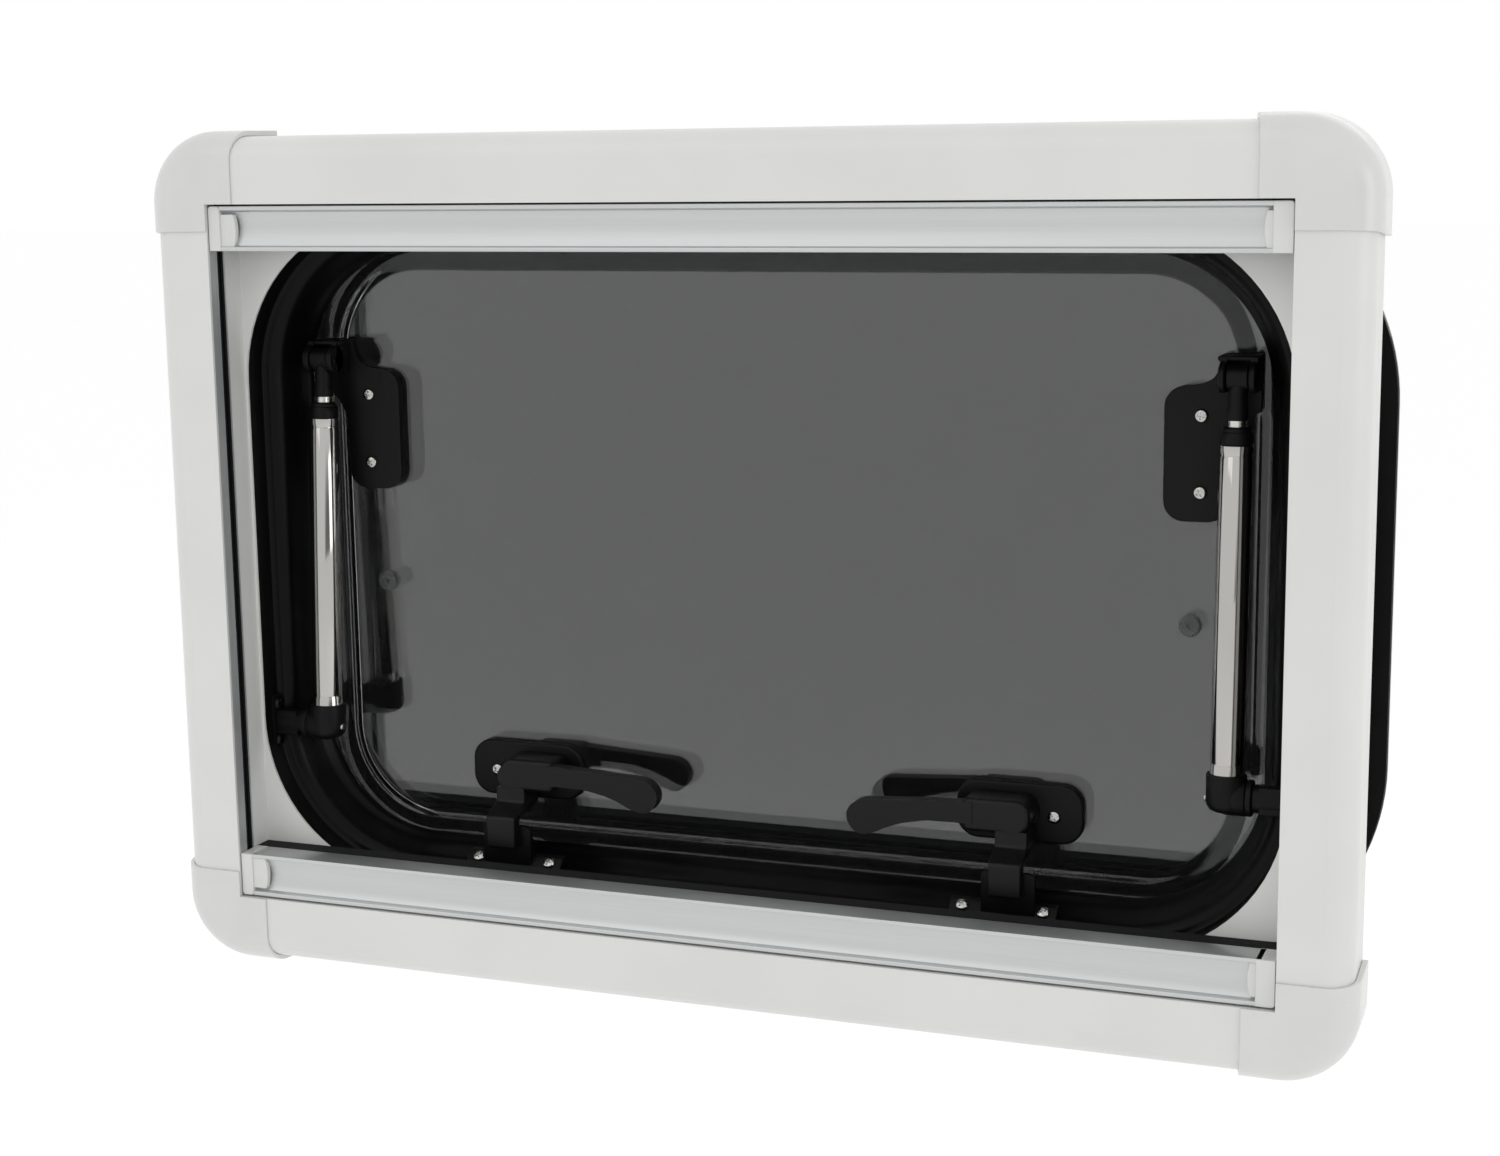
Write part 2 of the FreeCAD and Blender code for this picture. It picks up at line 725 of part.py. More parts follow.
def keeperStations():
    """The keepers' screws, square to the slope behind the ridge."""
    rise = float(d.ridgeRise) + 7.6
    depth = float(d.ridgeDepth) + 1.9
    level = -float(apertureZ) + rise
    half = float(d.keeperSpan) / 2
    middle = float(d.latchX) - float(d.keeperShift)
    places = [sign * middle + shift for sign in (-1, 1) for shift in (-half, half)]
    return [((x, depth, level), (0, 1, -1), 9.0) for x in places]


def stayBaseStations():
    """The screws that hold the stay bases to the frame's side walls."""
    places = []
    for sign in (-1, 1):
        for rise in (-11, 11):
            seat = (
                sign * (float(apertureX) - 3.4),
                float(d.ridgeDepth) / 2,
                float(stayFootZ) + rise,
            )
            places.append((seat, (sign, 0, 0), 9.0))
    return places


keeperPlaces, stayBasePlaces = keeperStations(), stayBaseStations()
framePipe = ring("framePipe", aperture(0), frameSection())
node(
    drilled("windowFrame", framePipe, clampPlaces + keeperPlaces + stayBasePlaces),
    "window_frame",
)

sealNear, sealFar = flangeRear, outerFace - d.rimThick - d.innerThick - d.sealGap
sealRise = apertureZ - d.sealInset
node(
    ring(
        "frameSeal", aperture(0),
        [
            (sealNear, sealRise), (sealNear + 2, sealRise - 1), (sealNear + 4, sealRise - 2),
            (sealFar - 2, sealRise), (sealFar, sealRise - 2), (sealFar, sealRise - 4),
            (sealFar - 2, sealRise - d.sealWidth), (sealNear + 4, sealRise - d.sealWidth + 1),
            (sealNear, sealRise - d.sealWidth),
        ],
    ),
    "frame_seal",
)


def keeper(side, sign):
    """A strike plate: a foot on the frame's slope, and a wall that the latch hooks over."""
    rise, depth = d.ridgeRise, d.ridgeDepth
    level = -1 * apertureZ
    slopeFoot = [
        (depth + 0.05, rise + 0.1), (depth + 4, rise + 4.5), (depth + 9, rise + 6.4),
        (depth + 9, rise + 10.7), (depth + 5, rise + 10.7), (depth - 2.2, rise + 3.5),
        (depth - 2.2, rise + 0.1),
    ]
    start = sign * (d.latchX - d.keeperShift) - d.keeperWidth / 2
    foot = bar(
        side + "KeeperFoot", "yz", start, d.keeperWidth,
        [(y, level + z) for y, z in slopeFoot],
    )
    wall = box(
        side + "KeeperWall",
        (sign * d.latchX - d.strikeWidth / 2, depth, level + rise + 5),
        (sign * d.latchX + d.strikeWidth / 2, depth + 3.4, level + rise + 28.8),
    )
    made = fuse(side + "KeeperBody", [foot, wall])
    return drilled(side + "Keeper", made, keeperPlaces)


for side, sign in SIDES:
    node(keeper(side, sign), side + "_keeper")
node(screws("keeperScrews", keeperPlaces), "keeper_screws")


# ---------------------------------------------------------------- blinds


def bracketShape(sideSign, endSign):
    """A roller bracket: an arm on the cassette's wall, a plate and a pin."""
    wall = float(halfHeight) + float(d.profileWidth) - float(d.profileWall)
    axisZ = float(halfHeight) + float(d.rollHeight)
    axisY = float(webPlane) + float(d.rollRadius) + 0.4
    plateX = float(halfWidth) + float(d.tubeMargin) + float(d.bracketGap)
    thick, half = float(d.bracketThick), 6.5
    arm = Part.makeBox(
        plateX + thick - float(halfWidth) + 9, 2 * half, thick,
        FreeCAD.Vector(float(halfWidth) - 9, axisY - half, wall - thick),
    )
    plate = Part.makeBox(
        thick, 2 * half, wall - axisZ + half, FreeCAD.Vector(plateX, axisY - half, axisZ - half)
    )
    length = float(d.pinLength)
    pin = Part.makeCylinder(
        float(d.pinRadius), length, FreeCAD.Vector(plateX - length, axisY, axisZ),
        FreeCAD.Vector(1, 0, 0),
    )
    shape = arm.fuse([plate, pin]).removeSplitter()
    if sideSign < 0:
        shape = shape.mirror(FreeCAD.Vector(), FreeCAD.Vector(1, 0, 0))
    if endSign < 0:
        shape = shape.mirror(FreeCAD.Vector(), FreeCAD.Vector(0, 0, 1))
    return shape


node(
    shaped(
        "rollerBrackets",
        Part.makeCompound([bracketShape(a, b) for _, a in SIDES for _, b in ENDS]),
    ),
    "roller_brackets",
)


def barSection(low, sign):
    """The pull bar's section and its hollow, as (depth, height) points."""
    nose, back = front + d.barFront, front + d.barFront + d.barDepth
    lip, groove, tall = d.lipHeight, d.grooveDepth, d.barHeight
    wall = d.barWall
    outline = [
        (nose, 0), (back, 0), (back, tall), (nose, tall), (nose, tall - lip),
        (nose + groove * 0.55, tall - lip * 1.6), (nose + groove * 0.9, tall - lip * 2.9),
        (nose + groove, tall / 2), (nose + groove * 0.9, lip * 2.9),
        (nose + groove * 0.55, lip * 1.6), (nose, lip),
    ]
    hollow = [
        (nose + groove + wall, wall), (back - wall, wall), (back - wall, tall - wall),
        (nose + groove + wall, tall - wall),
    ]
    return [[(y, low + z) for y, z in points] for points in (outline, hollow)]


def blind(name, sign):
    """A roller blind: roller, cloth, pull bar, end caps and brush."""
    edge = sign * halfHeight
    axisZ = sign * (halfHeight + d.rollHeight)
    axisY = webPlane + d.rollRadius + 0.4
    low = sign * (halfHeight - d.barGap) - (d.barHeight if sign > 0 else 0)
    high = low + d.barHeight
    barHalf = halfWidth - d.capGap - d.capWidth
    nose, back = front + d.barFront, front + d.barFront + d.barDepth

    tubeHalf = halfWidth + d.tubeMargin
    tube = cylinder(name + "TubeRod", "x", (-1 * tubeHalf, axisY, axisZ), d.tubeRadius, 2 * tubeHalf)
    boreRadius, boreDepth = d.pinRadius + d.pinPlay, d.pinLength + 1
    bores = [
        cylinder(name + "BoreLeft", "x", (-1 * tubeHalf - 1, axisY, axisZ), boreRadius, boreDepth + 1),
        cylinder(name + "BoreRight", "x", (tubeHalf - boreDepth, axisY, axisZ), boreRadius, boreDepth + 1),
    ]
    node(cut(name + "Tube", tube, fuse(name + "Bores", bores)), name + "_tube")

    clothHalf = halfWidth + d.clothMargin
    wound = cylinder(
        name + "Wound", "x", (-1 * clothHalf, axisY, axisZ), d.rollRadius, 2 * clothHalf
    )
    core = cylinder(
        name + "Core", "x", (-1 * clothHalf - 1, axisY, axisZ), d.tubeRadius, 2 * clothHalf + 2
    )
    node(cut(name + "Roll", wound, core), name + "_roll")

    clothTop, clothEnd = (high, axisZ) if sign > 0 else (axisZ, low)
    node(
        box(
            name + "Web", (-1 * clothHalf, webPlane - d.clothThick / 2, clothTop),
            (clothHalf, webPlane + d.clothThick / 2, clothEnd),
        ),
        name + "_web",
    )

    outline, hollow = barSection(low, sign)
    node(bar(name + "Bar", "yz", -1 * barHalf, 2 * barHalf, outline, hollow), name + "_bar")

    brushLow = low if sign > 0 else high - d.barBrushHeight
    node(
        box(
            name + "BarBrush", (d.capGap - halfWidth, back, brushLow),
            (halfWidth - d.capGap, plateFront - d.barBrushGap, brushLow + d.barBrushHeight),
        ),
        name + "_bar_brush",
    )

    for side, sideSign in SIDES:
        block = mirroredBox(
            f"{name}{side}Block", sideSign, (barHalf, nose - 0.4, low),
            (halfWidth - d.capGap, back, high),
        )
        tongue = mirroredBox(
            f"{name}{side}Tongue", sideSign, (barHalf + 2, webPlane - d.tongueThick / 2, low + 1),
            (halfWidth + d.tongueLength, webPlane + d.tongueThick / 2, high - 1),
        )
        tabHigh, tabLow = high - d.lipHeight * 1.9, low + d.lipHeight * 1.9
        tab = mirroredBox(
            f"{name}{side}Tab", sideSign, (barHalf - d.tabLength, nose + 0.3, tabLow),
            (barHalf + 1, nose + 0.3 + d.grooveDepth * 0.4, tabHigh),
        )
        cap = fuse(f"{name}{side}Cap", [block, tongue, tab])
        node(cap, f"{name}_{side}_cap")


blind("flyscreen", 1)
blind("blackout", -1)


# ---------------------------------------------------------------- sash

paneX, paneZ = apertureX + d.paneSide, apertureZ + d.paneEnd
hingeY = flangeRear + d.hingeStand
hingeZ = paneZ - d.hingeDrop

outerBody = slab("outerPane", outerFace, outerFace + d.outerThick, (paneX, paneZ, d.paneRound))
rimFront = outerFace - d.rimThick
rimInner = (paneX - d.rimWidth, paneZ - d.rimWidth + 18, d.paneRound - d.rimWidth)
node(outerBody, "outer_pane")
node(
    slab("sashRim", rimFront, outerFace, (paneX - 0.5, paneZ - 0.5, d.paneRound - 0.5), rimInner),
    "sash_rim",
)


def bracketStations():
    """The screws of the stay brackets on the inner pane."""
    seatY = float(dishFace) - 5
    return [
        (
            (sign * (float(stayX) - 21), seatY, float(stayTopZ) - drop), (0, 1, 0),
            5.0 + float(d.innerThick) - 0.5,
        )
        for sign in (-1, 1) for drop in (21.5, 61.5)
    ]


def latchStations():
    """The screws of the latch bases on the inner pane."""
    seatY = float(dishFace) - float(d.latchThick)
    places = []
    for sign in (-1, 1):
        for shift in (-23.0, 18.5):
            seat = (sign * (float(d.latchX) + shift), seatY, float(latchZ) - 2)
            places.append((seat, (0, 1, 0), float(d.latchThick) + float(d.innerThick) - 0.5))
    return places


bracketPlaces, latchPlaces = bracketStations(), latchStations()


def innerPane():
    """The inner pane: a flat edge on the rim, and a middle that is dished towards the room."""
    dish = (apertureX - d.dishSide, apertureZ - d.dishEnd, d.dishRound)
    inside = tuple(value - d.innerThick for value in dish)
    raised = slab("dishOuter", dishFace, rimFront, dish)
    hollow = slab("dishHollow", dishFace + d.innerThick, rimFront + 1, inside)
    edge = slab(
        "paneEdge", rimFront - d.innerThick, rimFront, aperture(d.innerInset), inside
    )
    shell = fuse("paneShell", [cut("dishShell", raised, hollow), edge])
    plugs = [
        cylinder(
            side + "PlugHole", "y", (sign * plugX, dishFace - 1, d.plugZ),
            d.plugRadius - 2 + 0.05, d.innerThick + 2,
        )
        for side, sign in SIDES
    ]
    open_ = cut("paneVented", shell, fuse("plugHoles", plugs))
    return drilled("innerPane", open_, bracketPlaces + latchPlaces)


node(innerPane(), "inner_pane")

ventPlugs = []
for side, sign in SIDES:
    head = cylinder(
        side + "PlugHead", "y", (sign * plugX, dishFace - 1.5, d.plugZ), d.plugRadius, 1.5
    )
    stem = cylinder(
        side + "PlugStem", "y", (sign * plugX, dishFace - 1.5, d.plugZ),
        d.plugRadius - 2, d.innerThick + 3,
    )
    dimple = cylinder(
        side + "PlugDimple", "y", (sign * plugX, dishFace - 2, d.plugZ), 1.2, 2
    )
    ventPlugs.append(cut(side + "Plug", fuse(side + "PlugBody", [head, stem]), dimple))
node(group("ventPlugs", ventPlugs), "vent_plugs")

# hinge: a bead on the sash turns in an open socket on the frame
beadPlateFace = hingeY + d.beadRadius + d.socketWall + 0.9
hingeHalf = d.hingeLength / 2
socketRadius = d.beadRadius + 0.05
bead = cylinder("hingeBead", "x", (-1 * hingeHalf, hingeY, hingeZ), d.beadRadius, d.hingeLength)
neck = box(
    "hingeNeck", (-1 * hingeHalf, hingeY, hingeZ - 0.9),
    (hingeHalf, beadPlateFace + 0.5, hingeZ + 0.9),
)
leaf = box(
    "hingeLeaf", (-1 * hingeHalf, beadPlateFace, hingeZ - 10), (hingeHalf, rimFront, hingeZ + 6)
)
node(fuse("hingeRail", [bead, neck, leaf]), "hinge_rail")


def socketShape():
    """The hinge socket: a round channel open from straight out to straight up."""
    outer = socketWallRadius = float(socketRadius) + float(d.socketWall)
    length, start = float(d.hingeLength), -float(hingeHalf)
    axis = FreeCAD.Vector(1, 0, 0)
    centre = FreeCAD.Vector(start, float(hingeY), float(hingeZ))
    wall = Part.makeCylinder(outer, length, centre, axis)
    leg = Part.makeBox(
        length, float(hingeY) - float(flangeRear), 3,
        FreeCAD.Vector(start, float(flangeRear), float(hingeZ) - outer),
    )
    foot = Part.makeBox(
        length, 1.6, 13, FreeCAD.Vector(start, float(flangeRear), float(hingeZ) - outer - 1)
    )
    bore = Part.makeCylinder(float(socketRadius), length + 2, centre - axis, axis)
    first, last = math.radians(-24), math.radians(92)
    reach = 3 * socketWallRadius
    corners = [centre - axis]
    for angle in (first, (first + last) / 2, last):
        corners.append(
            centre - axis + FreeCAD.Vector(0, reach * math.cos(angle), reach * math.sin(angle))
        )
    mouth = Part.Face(Part.makePolygon(corners + corners[:1])).extrude(axis * (length + 2))
    return wall.fuse([leg, foot]).cut(bore).cut(mouth).removeSplitter()


node(shaped("hingeChannel", socketShape()), "hinge_channel")


# ---------------------------------------------------------------- stays


def towards(base, direction, distance):
    return base + direction * distance


def tiltedStay(sign):
    """The pieces of one stay, along the line from its upper to its lower pivot."""
    x = sign * float(stayX)
    top = FreeCAD.Vector(x, float(d.stayTopY), float(stayTopZ))
    foot = FreeCAD.Vector(x, float(d.stayFootY), float(stayFootZ))
    down = (foot - top).normalize()
    length = (foot - top).Length
    across = FreeCAD.Vector(1, 0, 0)
    tubeTop = float(d.stayTubeTop)
    rodR, tubeR = float(d.stayRodRadius), float(d.stayTubeRadius)
    boreR = tubeR - float(d.stayTubeWall)

    eye = Part.makeCylinder(6.5, 11, top - across * 5.5, across)
    stemLength, rodStart = 22, 11
    stem = Part.makeCylinder(5.4, stemLength, top, down)
    pinHole = Part.makeCylinder(2.5, 13, top - across * 6.5, across)
    seatLength = stemLength - rodStart + 1
    rodSeat = Part.makeCylinder(rodR + 0.02, seatLength, towards(top, down, rodStart), down)
    head = eye.fuse(stem).cut(pinHole).cut(rodSeat).removeSplitter()

    rodEnd = tubeTop + float(d.stayStroke) + 25
    rod = Part.makeCylinder(rodR, rodEnd - rodStart, towards(top, down, rodStart), down)
    stop = Part.makeCylinder(boreR - 0.06, 8, towards(top, down, rodEnd - 8), down)
    rod = rod.fuse(stop).removeSplitter()

    collar = Part.makeCylinder(tubeR - 0.4, 9, towards(top, down, tubeTop - 8), down)
    collarIn = Part.makeCylinder(boreR - 0.1, 8, towards(top, down, tubeTop + 1), down)
    collarBore = Part.makeCylinder(rodR + 0.06, 30, towards(top, down, tubeTop - 10), down)
    collar = collar.fuse(collarIn).cut(collarBore).removeSplitter()

    tubeStart, tubeEnd = tubeTop + 1, length - 3
    tube = Part.makeCylinder(tubeR, tubeEnd - tubeStart, towards(top, down, tubeStart), down)
    bore = Part.makeCylinder(
        boreR, tubeEnd - tubeStart + 2, towards(top, down, tubeStart - 1), down
    )
    tube = tube.cut(bore)

    socket = Part.makeCylinder(tubeR + 1.8, 20, towards(top, down, length - 12), down)
    socketBore = Part.makeCylinder(tubeR + 0.02, 9, towards(top, down, length - 12), down)
    knuckle = Part.makeCylinder(
        float(d.footRadius), tubeR + 5, foot - across * 3 * sign, across * sign
    )
    elbow = socket.fuse(knuckle).cut(socketBore).removeSplitter()
    return {"head": head, "rod": rod, "collar": collar, "tube": tube, "foot": elbow}


def stayBaseBlank(sign):
    """A stay base before it is fitted to the frame: a boss to the stay, a block, a plate."""
    wallX = float(apertureX) + 2
    depth, level = float(d.stayFootY), float(stayFootZ)
    end = float(stayX) + float(d.stayTubeRadius) + 2.4
    across = FreeCAD.Vector(1, 0, 0)
    boss = Part.makeCylinder(7.4, wallX - end, FreeCAD.Vector(end, depth, level), across)
    collar = Part.makeCylinder(
        float(d.footRadius), 3, FreeCAD.Vector(end, depth, level), across
    )
    plate = Part.makeBox(5.4, 7.8, 34, FreeCAD.Vector(wallX - 5.4, 0.2, level - 17))
    block = Part.makeBox(
        wallX - end - 7, 13.6, 15, FreeCAD.Vector(end + 7, depth - 6.4, level - 7.5)
    )
    shape = boss.fuse([collar, plate, block]).removeSplitter()
    return shape if sign > 0 else shape.mirror(FreeCAD.Vector(), FreeCAD.Vector(1, 0, 0))


for side, sign in SIDES:
    for piece, shape in tiltedStay(sign).items():
        node(shaped(f"{side}Stay{piece.title()}", shape), f"{side}_stay_{piece}")

blanks = shaped("stayBaseBlanks", Part.makeCompound([stayBaseBlank(sign) for _, sign in SIDES]))
fitted = cut("stayBaseFitted", blanks, framePipe)
node(drilled("stayBases", fitted, stayBasePlaces), "stay_bases")
node(screws("stayBaseScrews", stayBasePlaces), "stay_base_screws")


def stayBracketShape(sign):
    """A stay bracket: a plate on the pane, and a hooded fork that carries the upper pivot."""
    face, thick = float(dishFace), 5.0
    x, depth, top = float(stayX), float(d.stayTopY), float(stayTopZ)
    outline = [
        (x - 40.5, top - 77), (x - 6.5, top - 77), (x - 6.5, top - 40), (x - 3, top - 28),
        (x + 4.5, top - 20.5), (x + 9.4, top - 19),
        (x + 9.4, top + 10.6), (x - 11, top + 10.6), (x - 12.5, top + 1), (x - 16.5, top - 4),
        (x - 24, top - 6.2), (x - 40.5, top - 6.2),
    ]
    corners = [FreeCAD.Vector(a, face - thick, b) for a, b in outline]
    plate = Part.Face(Part.makePolygon(corners + corners[:1])).extrude(
        FreeCAD.Vector(0, thick, 0)
    )
    soft = [
        edge for edge in plate.Edges
        if abs(edge.tangentAt(edge.FirstParameter).y) > 0.9
        and (edge.Vertexes[0].X < x - 40 or edge.Vertexes[0].Z < top - 76)
    ]
    plate = plate.makeFillet(11, soft)
    across = FreeCAD.Vector(1, 0, 0)
    cheeks = []
    for start in (x - 9.4, x + 6.0):
        cheeks.append(
            Part.makeBox(3.4, face - depth, 18, FreeCAD.Vector(start, depth, top - 8))
        )
        cheeks.append(Part.makeCylinder(8, 3.4, FreeCAD.Vector(start, depth, top), across))
    hood = Part.makeBox(
        20.4, face - depth - 1, 2.6, FreeCAD.Vector(x - 11, depth + 1, top + 8)
    )
    pin = Part.makeCylinder(2.44, 18.8, FreeCAD.Vector(x - 9.4, depth, top), across)
    shape = plate.fuse([hood, pin] + cheeks).removeSplitter()
    return shape if sign > 0 else shape.mirror(FreeCAD.Vector(), FreeCAD.Vector(1, 0, 0))


for side, sign in SIDES:
    block = shaped(side + "StayBracketBlock", stayBracketShape(sign))
    node(drilled(side + "StayBracket", block, bracketPlaces), side + "_stay_bracket")
node(screws("bracketScrews", bracketPlaces), "bracket_screws")


# ---------------------------------------------------------------- latches


def latchBase(side, sign):
    """A latch base: a plate with round ends, and a low boss under the lever."""
    body = newBody(side + "BasePlate")
    sketch = newSketch(body, "xz", -1 * (dishFace - d.latchThick))
    half, tall = d.latchLength / 2, d.latchHeight / 2
    centre, level = sign * (d.latchX - 1), latchZ - 0.8
    polygon(
        sketch,
        [
            (centre - half, level - tall), (centre + half, level - tall),
            (centre + half, level + tall), (centre - half, level + tall),
        ],
    )
    block = pad(body, sketch, d.latchThick, backward=True)
    middle = float(dishFace) - float(d.latchThick) / 2
    for xSign in (-1, 1):
        for zSign in (-1, 1):
            corner = (
                float(centre) + xSign * float(half), middle, float(level) + zSign * float(tall)
            )
            block = fillet(body, block, corner, 12)
    pivot = cylinder(
        side + "BasePivotHole", "y", (sign * d.latchX, dishFace - d.latchThick - 1, latchZ),
        d.screwShank + 1.15, d.latchThick + 2,
    )
    plate = cut(side + "BaseBored", body, pivot)
    return drilled(side + "LatchBase", plate, latchPlaces)


def leverOutline(sign):
    """The hub and the handle to its tip, as (x, z) points seen from the room."""
    x, z = d.latchX, latchZ
    inner, tip = x + 10 - d.hubWidth, x - d.leverReach
    top, low = z + 11, z + 11 - d.hubHeight
    points = [
        (x + 1, top), (x + 7, top - 1.5), (x + 10, top - 6), (x + 10, low + 5), (x + 6, low),
        (inner + 3, low), (inner - 3, z - 3.2), (x - 48, z - 3.4), (x - 61, z - 6),
        (x - 69, z - 9.6), (x - 77, z - 13.2), (x - 84.5, z - 14.8), (tip + 3.6, z - 11.5),
        (tip, z - 5), (tip + 2.2, z + 1.2), (tip + 7.5, z + 5), (x - 61, z + 6.6),
        (inner - 3, z + 8.2), (inner + 3, top - 0.4),
    ]
    return points if sign > 0 else [(-1 * a, b) for a, b in points]


def lever(side, sign):
    """A latch lever: hub, handle, and a tongue that steps over the keeper."""
    name = side + "Lever"
    hubFace = dishFace - d.hubTop
    base = dishFace - d.latchThick
    handleBody = newBody(name + "Handle")
    sketch = newSketch(handleBody, "xz", -1 * (hubFace - 0.5))
    polygon(sketch, leverOutline(sign))
    pad(handleBody, sketch, d.leverThick, backward=True)
    hub = mirroredBox(
        name + "Hub", sign, (d.latchX + 13 - d.hubWidth, hubFace + 1, latchZ + 11 - d.hubHeight),
        (d.latchX + 10, base - d.hubLift, latchZ + 9),
    )
    stem = cylinder(
        name + "Stem", "y", (sign * d.latchX, base - d.hubLift - 1, latchZ), 10.5, d.hubLift + 1
    )
    tongueFront = d.ridgeDepth - 8.4
    z, end = latchZ, latchZ - d.tongueDrop
    tongue = bar(
        name + "Tongue", "yz", sign * d.latchX - d.tongueWidth / 2, d.tongueWidth,
        [
            (hubFace, z - 6), (hubFace, z - 14.3), (tongueFront, z - 20.7), (tongueFront, end),
            (tongueFront + 8, end), (tongueFront + 8, z - 22.7), (hubFace + 8, z - 20.7),
            (base - d.hubLift, z - 18.5), (base - d.hubLift, z - 6),
        ],
    )
    bore = cylinder(
        name + "Bore", "y", (sign * d.latchX, hubFace - 2, latchZ),
        d.screwShank + 1.15, d.hubTop,
    )
    return cut(name, fuse(name + "Solid", [hub, stem, handleBody, tongue]), bore)


pivots = []
for side, sign in SIDES:
    node(latchBase(side, sign), side + "_latch_base")
    node(lever(side, sign), side + "_latch_lever")
    shaft = cylinder(
        side + "PivotShaft", "y", (sign * d.latchX, dishFace - d.hubTop - 1, latchZ),
        d.screwShank + 1.1, d.hubTop + 1,
    )
    button = cylinder(
        side + "PivotHead", "y", (sign * d.latchX, dishFace - d.hubTop - 1.3, latchZ),
        d.bossRadius, 0.8,
    )
    pivots.append(fuse(side + "Pivot", [shaft, button]))
node(group("latchPivots", pivots), "latch_pivots")
node(screws("latchScrews", latchPlaces), "latch_screws")


# ---------------------------------------------------------------- checks and files


def checkAndExport():
    doc.recompute()
    failed = [
        item.Name for item in doc.Objects
        if "Invalid" in item.State or "Error" in item.State
    ]
    if failed:
        raise RuntimeError("these objects did not build: " + ", ".join(failed))
    for item in nodes:
        if item.Shape.isNull() or not item.Shape.isValid():
            raise RuntimeError(f"{item.Label} has no valid shape")
    os.makedirs("parts", exist_ok=True)
    for item in nodes:
        item.Shape.exportStep(f"parts/{item.Label}.step")
        box_ = item.Shape.BoundBox
        print(
            f"{item.Label:28s} solids {len(item.Shape.Solids):2d}  volume {item.Shape.Volume:12.1f}"
            f"  x {box_.XMin:8.2f} {box_.XMax:8.2f}  y {box_.YMin:7.2f} {box_.YMax:7.2f}"
            f"  z {box_.ZMin:8.2f} {box_.ZMax:8.2f}"
        )
    print(len(nodes), "nodes")


checkAndExport()
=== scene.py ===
import bpy
import bmesh
import math
from mathutils import Matrix, Vector


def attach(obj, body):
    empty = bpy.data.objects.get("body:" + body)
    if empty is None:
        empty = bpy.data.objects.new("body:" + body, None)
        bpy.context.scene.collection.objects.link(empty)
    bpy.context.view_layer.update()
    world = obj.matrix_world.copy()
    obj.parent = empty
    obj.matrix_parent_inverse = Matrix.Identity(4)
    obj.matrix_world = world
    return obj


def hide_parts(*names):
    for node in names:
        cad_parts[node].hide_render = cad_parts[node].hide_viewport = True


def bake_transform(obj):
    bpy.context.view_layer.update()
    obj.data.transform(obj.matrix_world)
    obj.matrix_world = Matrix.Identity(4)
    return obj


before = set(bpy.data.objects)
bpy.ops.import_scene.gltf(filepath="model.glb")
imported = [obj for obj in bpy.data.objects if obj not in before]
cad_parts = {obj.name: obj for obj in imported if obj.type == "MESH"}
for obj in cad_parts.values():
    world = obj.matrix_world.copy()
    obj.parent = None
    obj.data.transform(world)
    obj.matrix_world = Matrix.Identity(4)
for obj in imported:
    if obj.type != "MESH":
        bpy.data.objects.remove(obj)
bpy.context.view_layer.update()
print("frame loaded")


# small tools; shapes are drawn in millimetres and scaled to metres at the end

def linearColour(code, alpha=1.0):
    parts = [int(code[n:n + 2], 16) / 255 for n in (1, 3, 5)]
    return [p / 12.92 if p <= 0.04045 else ((p + 0.055) / 1.055) ** 2.4 for p in parts] + [alpha]


def addNode(tree, kind, settings=None, values=None, links=None):
    node = tree.nodes.new(kind)
    for key, value in (settings or {}).items():
        setattr(node, key, value)
    for key, value in (values or {}).items():
        node.inputs[key].default_value = value
    for key, source in (links or {}).items():
        tree.links.new(source, node.inputs[key])
    return node


def prism(outline, axis, start, end):
    # a face drawn across the axis, extruded along it
    bm = bmesh.new()
    spots = {
        "x": lambda a, b: (start, a, b),
        "y": lambda a, b: (a, start, b),
        "z": lambda a, b: (a, b, start),
    }
    face = bm.faces.new([bm.verts.new(spots[axis](a, b)) for a, b in outline])
    grown = bmesh.ops.extrude_face_region(bm, geom=[face])
    moved = [item for item in grown["geom"] if isinstance(item, bmesh.types.BMVert)]
    way = {"x": (1, 0, 0), "y": (0, 1, 0), "z": (0, 0, 1)}[axis]
    bmesh.ops.translate(bm, vec=Vector(way) * (end - start), verts=moved)
    bmesh.ops.recalc_face_normals(bm, faces=bm.faces)
    return bm


def block(low, high):
    outline = [(low[0], low[2]), (high[0], low[2]), (high[0], high[2]), (low[0], high[2])]
    return prism(outline, "y", low[1], high[1])


def lathe(profile, steps=40, closed=False):
    # profile points are (radius, height) round the z axis
    bm = bmesh.new()
    verts = [bm.verts.new((radius, 0, height)) for radius, height in profile]
    pairs = list(zip(verts, verts[1:])) + ([(verts[-1], verts[0])] if closed else [])
    edges = [bm.edges.new(pair) for pair in pairs]
    bmesh.ops.spin(
        bm, geom=verts + edges, cent=(0, 0, 0), axis=(0, 0, 1), angle=math.tau, steps=steps,
        use_merge=True,
    )
    bmesh.ops.remove_doubles(bm, verts=bm.verts, dist=0.0005)
    bmesh.ops.recalc_face_normals(bm, faces=bm.faces)
    return bm


def aim(bm, origin, way):
    turn = Vector((0, 0, 1)).rotation_difference(Vector(way)).to_matrix().to_4x4()
    bmesh.ops.transform(bm, matrix=Matrix.Translation(origin) @ turn, verts=bm.verts)
    return bm


def along(bm, axis, where=None):
    # edges that run along an axis, and whose middle passes a test
    n = "xyz".index(axis)
    found = []
    for edge in bm.edges:
        way = (edge.verts[1].co - edge.verts[0].co).normalized()
        middle = (edge.verts[0].co + edge.verts[1].co) / 2
        if abs(way[n]) > 0.999 and (where is None or where(middle)):
            found.append(edge)
    return found


